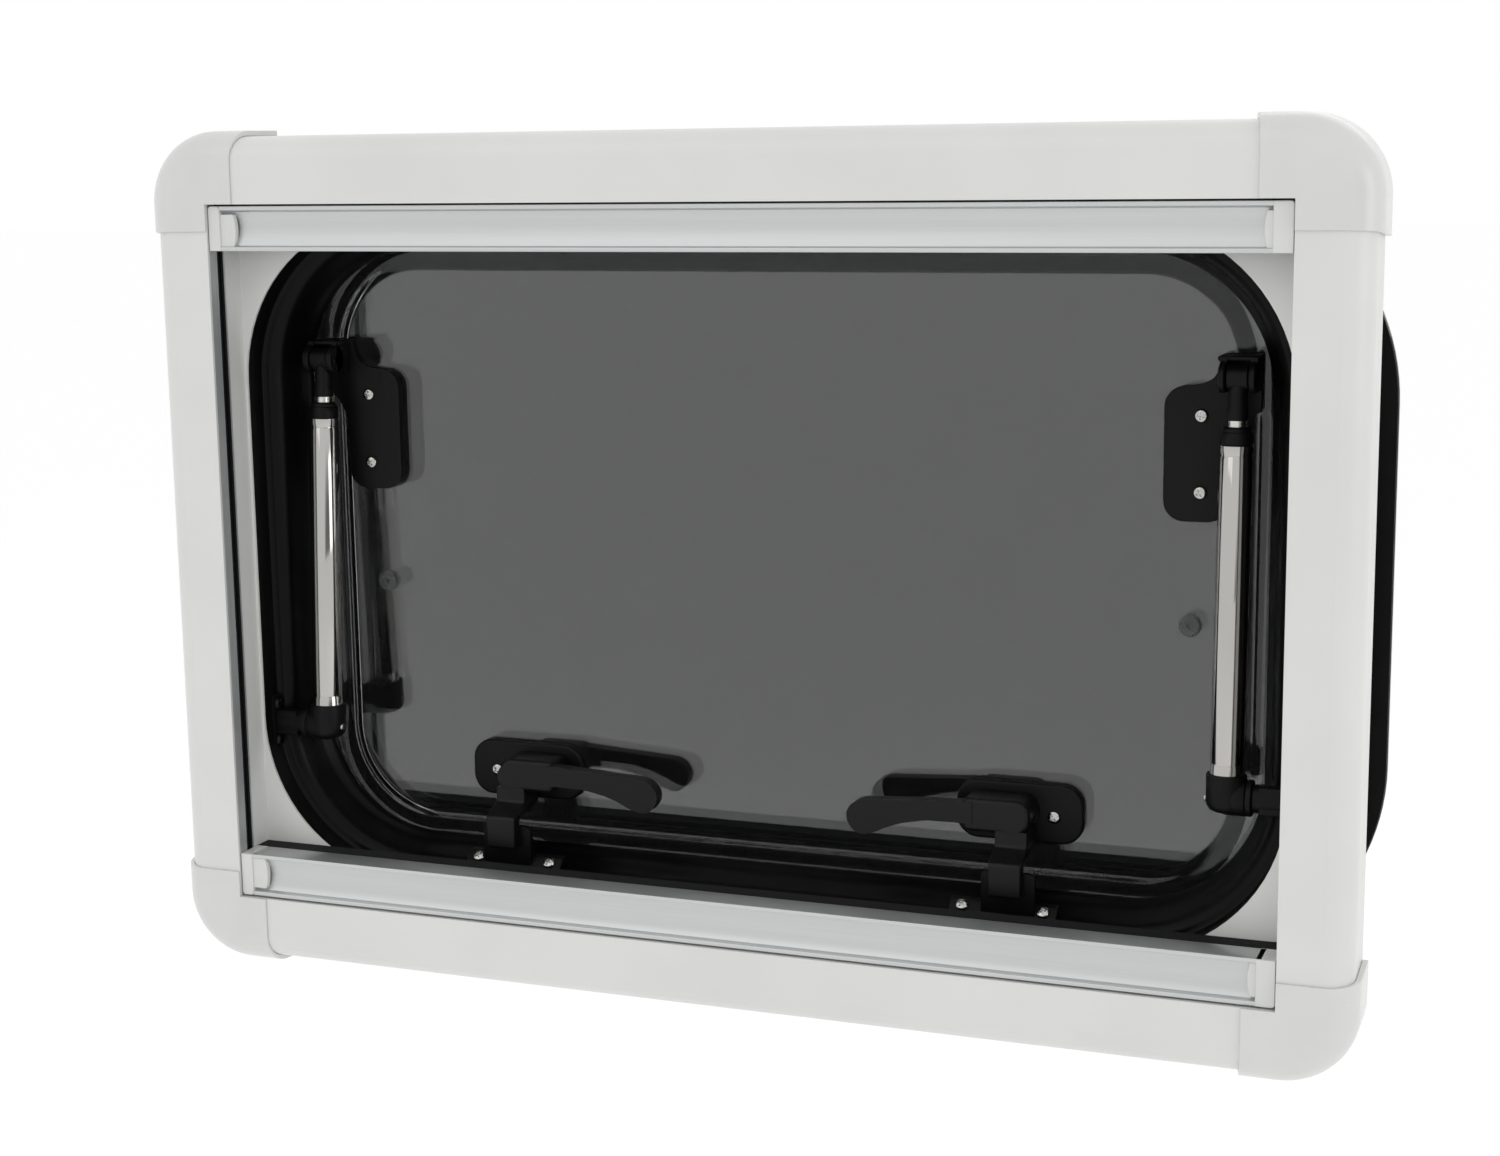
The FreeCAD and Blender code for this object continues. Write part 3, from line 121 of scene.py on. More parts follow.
def rim(bm, axis, level):
    # edges that lie in a plane across an axis
    n = "xyz".index(axis)
    return [e for e in bm.edges if all(abs(v.co[n] - level) < 0.001 for v in e.verts)]


def roundEdges(bm, edges, radius, segments=4):
    bmesh.ops.bevel(
        bm, geom=edges, offset=radius, offset_type="OFFSET", affect="EDGES", segments=segments,
        profile=0.5, material=-1, clamp_overlap=True,
    )
    return bm


def merged(shapes):
    whole = bmesh.new()
    for shape in shapes:
        carrier = bpy.data.meshes.new("carrier")
        shape.to_mesh(carrier)
        shape.free()
        whole.from_mesh(carrier)
        bpy.data.meshes.remove(carrier)
    return whole


def carved(bm, cutter):
    # the shape less its cutter, both used up
    parts = []
    for name, shape in (("body", bm), ("cutter", cutter)):
        mesh = bpy.data.meshes.new(name)
        shape.to_mesh(mesh)
        shape.free()
        part = bpy.data.objects.new(name, mesh)
        bpy.context.scene.collection.objects.link(part)
        parts.append(part)
    cut = parts[0].modifiers.new("cut", "BOOLEAN")
    cut.operation, cut.object, cut.solver, cut.use_self = "DIFFERENCE", parts[1], "EXACT", True
    shown = parts[0].evaluated_get(bpy.context.evaluated_depsgraph_get())
    result = bpy.data.meshes.new_from_object(shown)
    left = bmesh.new()
    left.from_mesh(result)
    for part in parts:
        bpy.data.objects.remove(part)
    bpy.data.meshes.remove(result)
    return left


def flipped(bm, x=1, z=1):
    # mirrors a shape left to right or top to bottom, faces still outwards
    bmesh.ops.scale(bm, vec=(x, 1, z), verts=bm.verts)
    if x * z < 0:
        bmesh.ops.reverse_faces(bm, faces=bm.faces)
    return bm


def roundLoop(bm, halfWide, halfTall, radius, depth, steps=16):
    before = len(bm.edges)
    start = bm.verts.new((0, depth, halfTall))
    here = start
    for sx, sz, ox, oz in ((1, 1, 0, 1), (1, -1, 1, 0), (-1, -1, 0, -1), (-1, 1, -1, 0)):
        centre = Vector((sx * (halfWide - radius), depth, sz * (halfTall - radius)))
        there = bm.verts.new(centre + Vector((ox, 0, oz)) * radius)
        bm.edges.new((here, there))
        turned = bmesh.ops.spin(
            bm, geom=[there], cent=centre, axis=(0, 1, 0), angle=math.pi / 2, steps=steps
        )
        here = [v for v in turned["geom_last"] if isinstance(v, bmesh.types.BMVert)][0]
    bm.edges.new((here, start))
    bm.edges.ensure_lookup_table()
    return [bm.edges[n] for n in range(before, len(bm.edges))]


def skin(loops, closed=False, fill=False, steps=16):
    # loops are (half width, half height, radius, depth), joined one after the other
    bm = bmesh.new()
    made = [roundLoop(bm, *loop, steps=steps) for loop in loops]
    pairs = list(zip(made, made[1:])) + ([(made[-1], made[0])] if closed else [])
    for first, second in pairs:
        bmesh.ops.bridge_loops(bm, edges=first + second)
    if fill:
        for end in (made[0], made[-1]):
            bmesh.ops.edgeloop_fill(bm, edges=end)
    bmesh.ops.recalc_face_normals(bm, faces=bm.faces)
    return bm


def finishPiece(name, bm, finish, body, stands=(), smooth=35):
    bmesh.ops.scale(bm, vec=(0.001, 0.001, 0.001), verts=bm.verts)
    mesh = bpy.data.meshes.new(name)
    bm.to_mesh(mesh)
    bm.free()
    mesh.materials.append(finish)
    mesh.shade_smooth()
    mesh.set_sharp_from_angle(angle=math.radians(smooth))
    piece = bpy.data.objects.new(name, mesh)
    bpy.context.scene.collection.objects.link(piece)
    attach(piece, body)
    if stands:
        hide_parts(*stands)
    return piece


# finishes

def newFinish(name, colour, metallic=0.0, roughness=0.4, more=None):
    material = bpy.data.materials.new(name)
    material.use_nodes = True
    tree = material.node_tree
    shader = tree.nodes["Principled BSDF"]
    shader.inputs["Base Color"].default_value = linearColour(colour)
    shader.inputs["Metallic"].default_value = metallic
    shader.inputs["Roughness"].default_value = roughness
    for key, value in (more or {}).items():
        shader.inputs[key].default_value = value
    return material, tree, shader


def surfaceNoise(tree, sizeMm, stretch=(1, 1, 1), detail=3.0, roughness=0.5):
    # noise whose grains are about sizeMm across; stretch lengthens them along an axis
    place = addNode(tree, "ShaderNodeTexCoord")
    scale = [1 / axis for axis in stretch]
    mapping = addNode(
        tree, "ShaderNodeMapping", values={"Scale": scale}, links={"Vector": place.outputs["Object"]}
    )
    return addNode(
        tree, "ShaderNodeTexNoise",
        values={"Scale": 1000 / sizeMm, "Detail": detail, "Roughness": roughness},
        links={"Vector": mapping.outputs["Vector"]},
    )


def tint(tree, shader, noise, dark, light, low=0.3, high=0.7):
    # colour that wanders between two close shades
    ramp = addNode(tree, "ShaderNodeValToRGB", links={"Fac": noise.outputs["Fac"]})
    ramp.color_ramp.elements[0].position = low
    ramp.color_ramp.elements[1].position = high
    ramp.color_ramp.elements[0].color = linearColour(dark)
    ramp.color_ramp.elements[1].color = linearColour(light)
    tree.links.new(ramp.outputs["Color"], shader.inputs["Base Color"])


def gloss(tree, shader, noise, low, high):
    # roughness that wanders between two values
    spread = addNode(
        tree, "ShaderNodeMapRange", values={"To Min": low, "To Max": high},
        links={"Value": noise.outputs["Fac"]},
    )
    tree.links.new(spread.outputs["Result"], shader.inputs["Roughness"])


def relief(tree, shader, height, depthMm, strength=1.0):
    bump = addNode(
        tree, "ShaderNodeBump", values={"Strength": strength, "Distance": depthMm / 1000},
        links={"Height": height},
    )
    tree.links.new(bump.outputs["Normal"], shader.inputs["Normal"])


def powderCoat():
    # polyester powder baked on extruded aluminium: satin white with a faint orange peel
    material, tree, shader = newFinish("powder_coated_aluminium", "#d0d0ce", 0.0, 0.34)
    peel = surfaceNoise(tree, 2.2, detail=2.0)  # real peel is about 1 mm, coarser so that it shows
    cloud = surfaceNoise(tree, 60, detail=2.0)
    tint(tree, shader, cloud, "#cececc", "#d2d2d0")
    gloss(tree, shader, peel, 0.28, 0.42)
    relief(tree, shader, peel.outputs["Fac"], 0.02)
    return material


def mouldedAsa():
    # injection moulded ASA: a little greyer and glossier than the powder coat, no grain lines
    material, tree, shader = newFinish("moulded_asa_white", "#cbccca", 0.0, 0.26, {"IOR": 1.52})
    cloud = surfaceNoise(tree, 35, detail=3.0)
    skinGrain = surfaceNoise(tree, 1.4, detail=2.0)
    tint(tree, shader, cloud, "#c9cac8", "#cdcecc")
    gloss(tree, shader, skinGrain, 0.23, 0.29)
    relief(tree, shader, skinGrain.outputs["Fac"], 0.001)
    return material


def coatedSheet():
    # coil coated sheet, rolled flat: matter than the profiles, with slight waviness
    material, tree, shader = newFinish("coil_coated_sheet", "#d6d6d3", 0.0, 0.45)
    wave = surfaceNoise(tree, 90, stretch=(1, 1, 2), detail=1.0)
    tint(tree, shader, wave, "#d0d0cd", "#dbdbd8")
    gloss(tree, shader, wave, 0.4, 0.52)
    relief(tree, shader, wave.outputs["Fac"], 0.15)
    return material


def anodisedAluminium():
    # extruded and satin anodised: fine die lines run along the bar and stretch the highlights
    material, tree, shader = newFinish("anodised_extruded_aluminium", "#c3c5c5", 0.75, 0.34)
    lines = surfaceNoise(tree, 0.9, stretch=(90, 1, 1), detail=4.0)  # die lines are finer than this
    tint(tree, shader, lines, "#c1c3c3", "#c5c7c7")
    gloss(tree, shader, lines, 0.35, 0.41)
    return material


def millAluminium():
    # mill finish extrusion standing upright: duller, with lines along its length
    material, tree, shader = newFinish("mill_finish_aluminium", "#b9bcbd", 0.6, 0.42)
    lines = surfaceNoise(tree, 0.9, stretch=(1, 1, 90), detail=4.0)
    tint(tree, shader, lines, "#b2b5b6", "#c0c3c4")
    gloss(tree, shader, lines, 0.36, 0.52)
    relief(tree, shader, lines.outputs["Fac"], 0.012)
    return material


def pileBrush():
    # woven weatherstrip pile: upright black fibres about 0.1 mm thick, drawn as 0.6 mm tufts
    material, tree, shader = newFinish(
        "woven_pile_brush", "#060606", 0.0, 0.9,
        {"Sheen Weight": 0.05, "Sheen Roughness": 0.5, "Specular IOR Level": 0.1},
    )
    tufts = surfaceNoise(tree, 0.6, stretch=(1, 6, 1), detail=3.0)
    tint(tree, shader, tufts, "#030303", "#0e0e0e")
    relief(tree, shader, tufts.outputs["Fac"], 0.5)
    return material


def polyurethaneSkin():
    # integral skin polyurethane foam: black, satin, with a very faint pebble from the mould
    material, tree, shader = newFinish(
        "moulded_polyurethane_skin", "#060606", 0.0, 0.3, {"Specular IOR Level": 0.1}
    )
    pebble = surfaceNoise(tree, 1.6, detail=2.0)
    cloud = surfaceNoise(tree, 40, detail=2.0)
    tint(tree, shader, cloud, "#050505", "#080808")
    gloss(tree, shader, cloud, 0.26, 0.36)
    relief(tree, shader, pebble.outputs["Fac"], 0.003)
    return material


def extrudedRubber():
    # EPDM seal: matt black with a faint bloom
    material, tree, shader = newFinish(
        "extruded_epdm_rubber", "#0a0a0a", 0.0, 0.62, {"Specular IOR Level": 0.15}
    )
    bloom = surfaceNoise(tree, 8, stretch=(6, 1, 6), detail=3.0)
    tint(tree, shader, bloom, "#080808", "#0e0e0e")
    gloss(tree, shader, bloom, 0.55, 0.72)
    relief(tree, shader, bloom.outputs["Fac"], 0.05)
    return material


def clearAcrylic():
    # thermoformed acrylic inner pane: nearly colourless, polished, very slight forming waves
    material, tree, shader = newFinish(
        "thermoformed_clear_acrylic", "#f4f5f5", 0.0, 0.0,
        {"IOR": 1.52, "Transmission Weight": 1.0},
    )
    wave = surfaceNoise(tree, 140, detail=1.0)
    relief(tree, shader, wave.outputs["Fac"], 0.25)
    return material


def smokedAcrylic():
    # cast acrylic tinted in the mass: dark grey, polished, with slight flow waves
    material, tree, shader = newFinish(
        "cast_smoked_acrylic", "#101011", 0.0, 0.0,
        {"IOR": 1.58, "Transmission Weight": 1.0},
    )
    wave = surfaceNoise(tree, 160, detail=1.0)
    relief(tree, shader, wave.outputs["Fac"], 0.25)
    return material


def bondedBorder():
    # black polyurethane bond between the panes: opaque, slightly uneven where it was spread
    material, tree, shader = newFinish(
        "spread_black_adhesive", "#080808", 0.0, 0.4, {"Specular IOR Level": 0.15}
    )
    spread = surfaceNoise(tree, 12, detail=3.0)
    tint(tree, shader, spread, "#060606", "#0b0b0b")
    gloss(tree, shader, spread, 0.34, 0.5)
    relief(tree, shader, spread.outputs["Fac"], 0.02)
    return material


def blackAnodised():
    # black anodised hinge extrusion with lines along its length
    material, tree, shader = newFinish("black_anodised_aluminium", "#161616", 0.6, 0.4)
    lines = surfaceNoise(tree, 0.9, stretch=(90, 1, 1), detail=4.0)
    tint(tree, shader, lines, "#101010", "#1e1e1e")
    gloss(tree, shader, lines, 0.34, 0.48)
    relief(tree, shader, lines.outputs["Fac"], 0.012)
    return material


def mouldedNylon(name, colour, roughness, shine):
    # glass filled nylon from a fine spark eroded mould: black, low satin gloss, faint grain
    material, tree, shader = newFinish(name, colour, 0.0, roughness, {"Specular IOR Level": shine})
    grain = surfaceNoise(tree, 0.8, detail=3.0)  # the real grain is nearer 0.1 mm
    gloss(tree, shader, grain, roughness - 0.06, roughness + 0.1)
    relief(tree, shader, grain.outputs["Fac"], 0.02)
    return material


def chromedBrass():
    # chrome plating over drawn brass tube: mirror bright, with the faintest draw marks
    material, tree, shader = newFinish("chrome_plated_brass", "#b4b2ae", 1.0, 0.09)
    draw = surfaceNoise(tree, 1.2, stretch=(1, 1, 60), detail=2.0)
    gloss(tree, shader, draw, 0.05, 0.12)
    relief(tree, shader, draw.outputs["Fac"], 0.004)
    return material


def turnedSteel():
    # bright drawn steel rod, slightly duller than the tube
    material, tree, shader = newFinish("bright_drawn_steel", "#cfcdc8", 1.0, 0.2)
    draw = surfaceNoise(tree, 0.8, stretch=(1, 1, 40), detail=2.0)
    gloss(tree, shader, draw, 0.16, 0.3)
    relief(tree, shader, draw.outputs["Fac"], 0.006)
    return material


def zincPlate():
    # clear passivated zinc on pressed and cold headed steel: bright, faintly mottled
    material, tree, shader = newFinish("zinc_plated_steel", "#b2b2af", 1.0, 0.13)
    spangle = surfaceNoise(tree, 1.5, detail=2.0)
    tint(tree, shader, spangle, "#a6a6a2", "#bfbfbc")
    gloss(tree, shader, spangle, 0.09, 0.2)
    return material


def blackZincPlate():
    # black passivated zinc, as on small fixing screws: dark, with a dull metal shine
    material, tree, shader = newFinish("black_zinc_plated_steel", "#1c1c1c", 0.8, 0.35)
    spangle = surfaceNoise(tree, 1.5, detail=2.0)
    tint(tree, shader, spangle, "#181818", "#222222")
    gloss(tree, shader, spangle, 0.3, 0.42)
    return material


def clearPlug():
    # moulded polyethylene vent plug: nearly clear, slightly cloudy
    material, tree, shader = newFinish(
        "moulded_clear_polyethylene", "#8d9090", 0.0, 0.18,
        {"IOR": 1.42, "Transmission Weight": 0.9},
    )
    cloud = surfaceNoise(tree, 4, detail=2.0)
    gloss(tree, shader, cloud, 0.16, 0.34)
    relief(tree, shader, cloud.outputs["Fac"], 0.02)
    return material


def threadPattern(tree, pitchMm, across="X"):
    # threads on the cloth's own map, whose unit is a metre of cloth
    uv = addNode(tree, "ShaderNodeUVMap", settings={"uv_map": "cloth"})
    return addNode(
        tree, "ShaderNodeTexWave",
        settings={"wave_type": "BANDS", "bands_direction": across, "wave_profile": "SIN"},
        values={"Scale": 1000 / pitchMm / math.tau * 0.5, "Distortion": 0.3, "Detail": 1.0},
        links={"Vector": uv.outputs["UV"]},
    )


def wovenCloth(name, dark, light, pitchMm, roughness, more=None):
    material, tree, shader = newFinish(name, light, 0.0, roughness, more)
    warp = threadPattern(tree, pitchMm, "X")
    weft = threadPattern(tree, pitchMm, "Y")
    weave = addNode(
        tree, "ShaderNodeMath", settings={"operation": "MAXIMUM"},
        links={0: warp.outputs["Fac"], 1: weft.outputs["Fac"]},
    )
    ramp = addNode(tree, "ShaderNodeValToRGB", links={"Fac": weave.outputs["Value"]})
    ramp.color_ramp.elements[0].position = 0.35
    ramp.color_ramp.elements[0].color = linearColour(dark)
    ramp.color_ramp.elements[1].color = linearColour(light)
    tree.links.new(ramp.outputs["Color"], shader.inputs["Base Color"])
    relief(tree, shader, weave.outputs["Value"], 0.1)
    return material


finishes = {
    "powder": powderCoat(),
    "asa": mouldedAsa(),
    "sheet": coatedSheet(),
    "barAluminium": anodisedAluminium(),
    "guideAluminium": millAluminium(),
    "pile": pileBrush(),
    "foam": polyurethaneSkin(),
    "rubber": extrudedRubber(),
    "innerAcrylic": clearAcrylic(),
    "outerAcrylic": smokedAcrylic(),
    "border": bondedBorder(),
    "hinge": blackAnodised(),
    "leverNylon": mouldedNylon("polished_glass_filled_nylon", "#0d0d0d", 0.32, 0.2),
    "nylon": mouldedNylon("grained_glass_filled_nylon", "#0a0a0a", 0.42, 0.14),
    "chrome": chromedBrass(),
    "steel": turnedSteel(),
    "zinc": zincPlate(),
    "blackZinc": blackZincPlate(),
    "plug": clearPlug(),
    # glass fibre insect mesh, 1.4 mm openings drawn at 2 mm so that they show
    "mesh": wovenCloth("woven_glass_fibre_mesh", "#070707", "#3a3a3c", 2.0, 0.6),
    # blackout cloth with a silvered face: close plain weave under the coating
    "blackout": wovenCloth(
        "silver_coated_blackout_cloth", "#b3b4b3", "#bdbebd", 1.2, 0.5, {"Sheen Weight": 0.2}
    ),
}

carriedOver = {
    "powder": ["top_cassette", "bottom_cassette", "left_side_profile", "right_side_profile"],
    "sheet": ["backing_plate"],
    "asa": ["clamp_ring"],
    "guideAluminium": ["guide_channels"],
    "barAluminium": ["flyscreen_tube", "blackout_tube"],
    "pile": ["guide_brushes"],
    "rubber": ["frame_seal"],
    "border": ["sash_rim"],
    "hinge": ["hinge_rail", "hinge_channel"],
    "zinc": ["roller_brackets"],
}
for finish, names in carriedOver.items():
    for name in names:
        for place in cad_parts[name].material_slots:
            place.material = finishes[finish]
print("finishes made")


# corner covers

cover = {
    "openX": 300, "openZ": 200.5, "width": 37.2, "stand": 3.2,
    "run": 17, "runSlant": 8, "drop": 15, "dropSlant": 4,  # legs along the top and the sides
    "front": -41.3, "rear": -1.8, "skin": 1.2, "gap": 0.1, "plan": 40, "edge": 16.4,
}


def cornerBlock(grow, past, front, rear, plan, edge):
    # an L of two legs round the opening's corner, its outer edges rounded
    farX, farZ = (cover[key] + cover["width"] + grow for key in ("openX", "openZ"))
    nearX, nearZ = cover["openX"] - past, cover["openZ"] - past
    legX = cover["openX"] - cover["run"] - cover["runSlant"] - 3 * past
    legZ = cover["openZ"] - cover["drop"] - cover["dropSlant"] - 3 * past
    outline = [(farX, farZ), (legX, farZ), (legX, nearZ), (nearX, nearZ), (nearX, legZ), (farX, legZ)]
    bm = prism(outline, "y", front, rear)
    for v in bm.verts:  # the legs' ends lean: they reach further at the wall
        if abs(v.co.y - front) < 0.01:
            if abs(v.co.x - legX) < 0.01:
                v.co.x += cover["runSlant"]
            if abs(v.co.z - legZ) < 0.01:
                v.co.z += cover["dropSlant"]
    roundEdges(bm, along(bm, "y", lambda m: m.x > farX - 1 and m.z > farZ - 1), plan, 24)
    outer = []
    for e in rim(bm, "y", front):
        middle = (e.verts[0].co + e.verts[1].co) / 2
        if middle.x > farX - 1 or middle.z > farZ - 1 or (
                middle.x > farX - plan and middle.z > farZ - plan):
            outer.append(e)
    return roundEdges(bm, outer, edge, 12)


def cornerCover(sx, sz):
    shell = carved(
        cornerBlock(cover["stand"], 0, cover["front"], cover["rear"], cover["plan"], cover["edge"]),
        cornerBlock(
            cover["gap"], 1, cover["front"] + cover["skin"], cover["rear"] + 3,
            cover["plan"] - cover["stand"], cover["edge"] - 2 * cover["skin"],
        ),
    )
    return flipped(shell, sx, sz)


for side, sx in (("left", -1), ("right", 1)):
    for end, sz in (("bottom", -1), ("top", 1)):
        piece = finishPiece(
            f"{end}_{side}_corner_cap", cornerCover(sx, sz), finishes["asa"], "frame",
            [f"corner_cover_{end}_{side}"], 50,
        )
        lip = piece.modifiers.new("lip", "BEVEL")
        lip.width, lip.segments, lip.limit_method = 0.0004, 3, "ANGLE"
        lip.angle_limit = math.radians(60)
print("corner covers made")


# window frame in the wall

aperture = {"x": 300, "z": 192, "round": 92}
frameFoam = {
    # (rise from the aperture, depth) round the section, from the hidden outside to the sash
    "section": [
        (-9.5, 0.0), (0.65, 0.0), (0.65, -6.3), (1.0, -6.6), (1.3, -6.2), (1.4, 6.2), (2.0, 7.4),
        (3.2, 8.2), (4.8, 8.4),
        (6.0, 8.7), (7.2, 9.5), (9.4, 11.6), (10.8, 13.4), (11.6, 15.6), (12.4, 18.2),
        (13.4, 23.0), (14.6, 26.6), (16.2, 29.2), (17.8, 30.9), (18.9, 32.4), (19.4, 33.8),
        (19.5, 34.6), (19.2, 35.0), (-25.4, 35.0), (-26.0, 34.4), (-26.0, 30.0), (-9.5, 30.0),
    ],
}


def inset(rise, depth):
    return (aperture["x"] - rise, aperture["z"] - rise, aperture["round"] - rise, depth)


finishPiece(
    "frame_moulding", skin([inset(*point) for point in frameFoam["section"]], closed=True, steps=28),
    finishes["foam"], "frame", ["window_frame"], 40,
)
print("window frame made")


# sash: a flat smoked outer pane and a dished clear inner pane

outerPane = {"x": 341, "z": 215, "round": 120, "near": 51, "far": 55, "chamfer": 0.8}


def paneLoop(grow, depth):
    return (outerPane["x"] + grow, outerPane["z"] + grow, outerPane["round"] + grow, depth)


chamfer = outerPane["chamfer"]
outer = skin(
    [
        paneLoop(-chamfer, outerPane["near"]), paneLoop(0, outerPane["near"] + chamfer),
        paneLoop(0, outerPane["far"] - chamfer), paneLoop(-chamfer, outerPane["far"]),
    ],
    fill=True, steps=28,
)
finishPiece("smoked_pane", outer, finishes["outerAcrylic"], "sash", ["outer_pane"], 30)

dish = {
    "x": 268, "z": 168, "round": 56, "face": 40, "flat": 46.5, "thick": 3, "soft": 12, "bends": 14,
}


def dishLoop(out, depth):
    return (dish["x"] + out, dish["z"] + out, dish["round"] + out, depth)


flatEdge = (298, 190, 90, dish["flat"])
bend = []
for n in range(dish["bends"] + 1):  # an S from the flat edge up to the raised middle
    turn = math.pi * n / dish["bends"]
    rise = (dish["flat"] - dish["face"]) * (1 - math.cos(turn)) / 2
    bend.append(dishLoop(dish["soft"] * (0.35 - n / dish["bends"]), dish["flat"] - rise))
inner = skin([flatEdge] + bend, steps=28)
bmesh.ops.edgeloop_fill(inner, edges=[e for e in inner.edges if e.is_boundary
                                      and abs(e.verts[0].co.y - dish["face"]) < 0.001])
for face in inner.faces:  # the front faces the room
    face.normal_update()
if sum(face.normal.y * face.calc_area() for face in inner.faces) > 0:
    bmesh.ops.reverse_faces(inner, faces=inner.faces)
pane = finishPiece(
    "dished_pane", inner, finishes["innerAcrylic"], "sash", ["inner_pane"], 40
)
wall = pane.modifiers.new("sheet", "SOLIDIFY")
wall.thickness = dish["thick"] / 1000
wall.offset = -1

plug = {"x": 239, "z": -23, "face": 38.7}
plugs = []
for sx in (-1, 1):
    cap = lathe([(0, 2.6), (1.0, 2.5), (1.1, 0.1), (1.5, -0.15), (1.9, 0.15), (5.2, 0.2), (5.9, 0.7),
                 (6.0, 1.5), (3.9, 1.5), (3.9, 5.4), (3.4, 6.0), (0, 6.0)], 36)
    plugs.append(aim(cap, (sx * plug["x"], plug["face"], plug["z"]), (0, 1, 0)))
finishPiece("vent_plug_pair", merged(plugs), finishes["plug"], "sash", ["vent_plugs"])
print("sash made")


# screws: pan heads with a cross recess

screw = {"head": 3.6, "crown": 2.1, "arm": 4.3, "slot": 1.15, "deep": 1.8, "shank": 1.9}


def crossHead():
    head = lathe(
        [(0, -screw["crown"]), (1.6, -2.04), (2.7, -1.85), (3.3, -1.4), (3.6, -0.7),
         (screw["head"], 0.0), (screw["shank"], 0.0), (screw["shank"], 4.0), (0, 4.0)], 32,
    )
    cross = merged([
        block((-screw["arm"] / 2, -screw["slot"] / 2, -4), (screw["arm"] / 2, screw["slot"] / 2,
                                                          screw["deep"] - screw["crown"])),
        block((-screw["slot"] / 2, -screw["arm"] / 2, -4), (screw["slot"] / 2, screw["arm"] / 2,
                                                          screw["deep"] - screw["crown"])),
    ])
    return carved(head, cross)


crossHeadMesh = bpy.data.meshes.new("cross_head")
crossHead().to_mesh(crossHeadMesh)


def screwSet(name, stations, body, stands, finish="zinc"):
    # stations are (seat, way in, turn of the cross in degrees)
    heads = []
    for seat, way, turn in stations:
        bm = bmesh.new()
        bm.from_mesh(crossHeadMesh)
        bmesh.ops.rotate(bm, cent=(0, 0, 0), matrix=Matrix.Rotation(math.radians(turn), 3, "Z"),
                         verts=bm.verts)
        heads.append(aim(bm, seat, way))
    return finishPiece(name, merged(heads), finishes[finish], body, [stands], 30)


screwSet(
    "clamp_screw_heads",
    [((x, -3.0, sz * 196.6), (0, 1, 0), x % 90) for sz in (-1, 1) for x in (-195, -65, 65, 195)]
    + [((sx * 304.6, -3.0, z), (0, 1, 0), 25 + z) for sx in (-1, 1) for z in (-55, 55)],
    "frame", "clamp_screws",
)
screwSet(
    "keeper_screw_heads",
    [((sx * 146.2 + half, 10.3, -178.2), (0, 1, -1), 20 + sx * 30 + half) for sx in (-1, 1)
     for half in (-22.5, 22.5)],
    "frame", "keeper_screws",
)
screwSet(
    "stay_base_screw_heads",
    [((sx * 296.6, 4.2, -105 + rise), (sx, 0, 0), 15 + rise) for sx in (-1, 1) for rise in (-11, 11)],
    "frame", "stay_base_screws", "blackZinc",
)
screwSet(
    "bracket_screw_heads",
    [((sx * 244, 35, z), (0, 1, 0), 12 + z * sx) for sx in (-1, 1) for z in (88.5, 48.5)],
    "sash", "bracket_screws",
)
screwSet(
    "latch_screw_heads",
    [((sx * (149.5 + reach), 36, -132), (0, 1, 0), 35 + reach) for sx in (-1, 1)
     for reach in (-23, 18.5)],
    "sash", "latch_screws",
)
print("screws made")


# keepers: a foot on the frame's slope and a wall that the latch hooks over

keeper = {"middle": 146.2, "half": 30, "wallMiddle": 149.5, "wallHalf": 15, "top": -157}


def keeperShape(sx):
    foot = prism(
        [(8.45, -185.7), (12.4, -181.3), (17.4, -179.4), (17.4, -175.1), (13.4, -175.1),
         (6.2, -182.3), (6.2, -185.7)], "x", sx * keeper["middle"] - keeper["half"],
        sx * keeper["middle"] + keeper["half"],
    )
    roundEdges(foot, along(foot, "x", lambda m: m.z > -183 and m.y < 16), 1.6, 4)
    roundEdges(foot, rim(foot, "x", sx * keeper["middle"] - keeper["half"])
               + rim(foot, "x", sx * keeper["middle"] + keeper["half"]), 0.8, 3)
    wall = block(
        (sx * keeper["wallMiddle"] - keeper["wallHalf"], 8.4, -181),
        (sx * keeper["wallMiddle"] + keeper["wallHalf"], 11.8, keeper["top"]),
    )
    roundEdges(wall, along(wall, "y", lambda m: m.z > -160), 4, 6)
    roundEdges(wall, rim(wall, "y", 8.4) + rim(wall, "y", 11.8), 0.5, 3)
    ribs = []
    for step in (-17, -9, 9, 17):  # webs that brace the wall from behind
        web = prism([(11.5, -177), (17.0, -177), (11.5, -160)], "x",
                    sx * keeper["wallMiddle"] + step * 0.8 - 0.7,
                    sx * keeper["wallMiddle"] + step * 0.8 + 0.7)
        ribs.append(web)
    return merged([foot, wall] + ribs)


for side, sx in (("left", -1), ("right", 1)):
    finishPiece(f"{side}_strike", keeperShape(sx), finishes["nylon"], "frame",
                [f"{side}_keeper"])


# latches

latch = {
    "x": 149.5, "z": -130, "face": 14, "rear": 32.8, "handleNear": 13.5, "handleThick": 8,
    "baseNear": 36, "baseFar": 40, "baseLow": -147.3, "baseHigh": -114.3, "stem": 10.5,
    "hubEnd": {-1: 156.5, 1: 159.5},
}


def latchBase(sx):
    middle = sx * (latch["x"] - 1)
    plate = block((middle - 35.5, latch["baseNear"], latch["baseLow"]),
                  (middle + 35.5, latch["baseFar"], latch["baseHigh"]))
    roundEdges(plate, along(plate, "y"), 12, 10)
    roundEdges(plate, rim(plate, "y", latch["baseNear"]), 1.6, 5)
    return plate


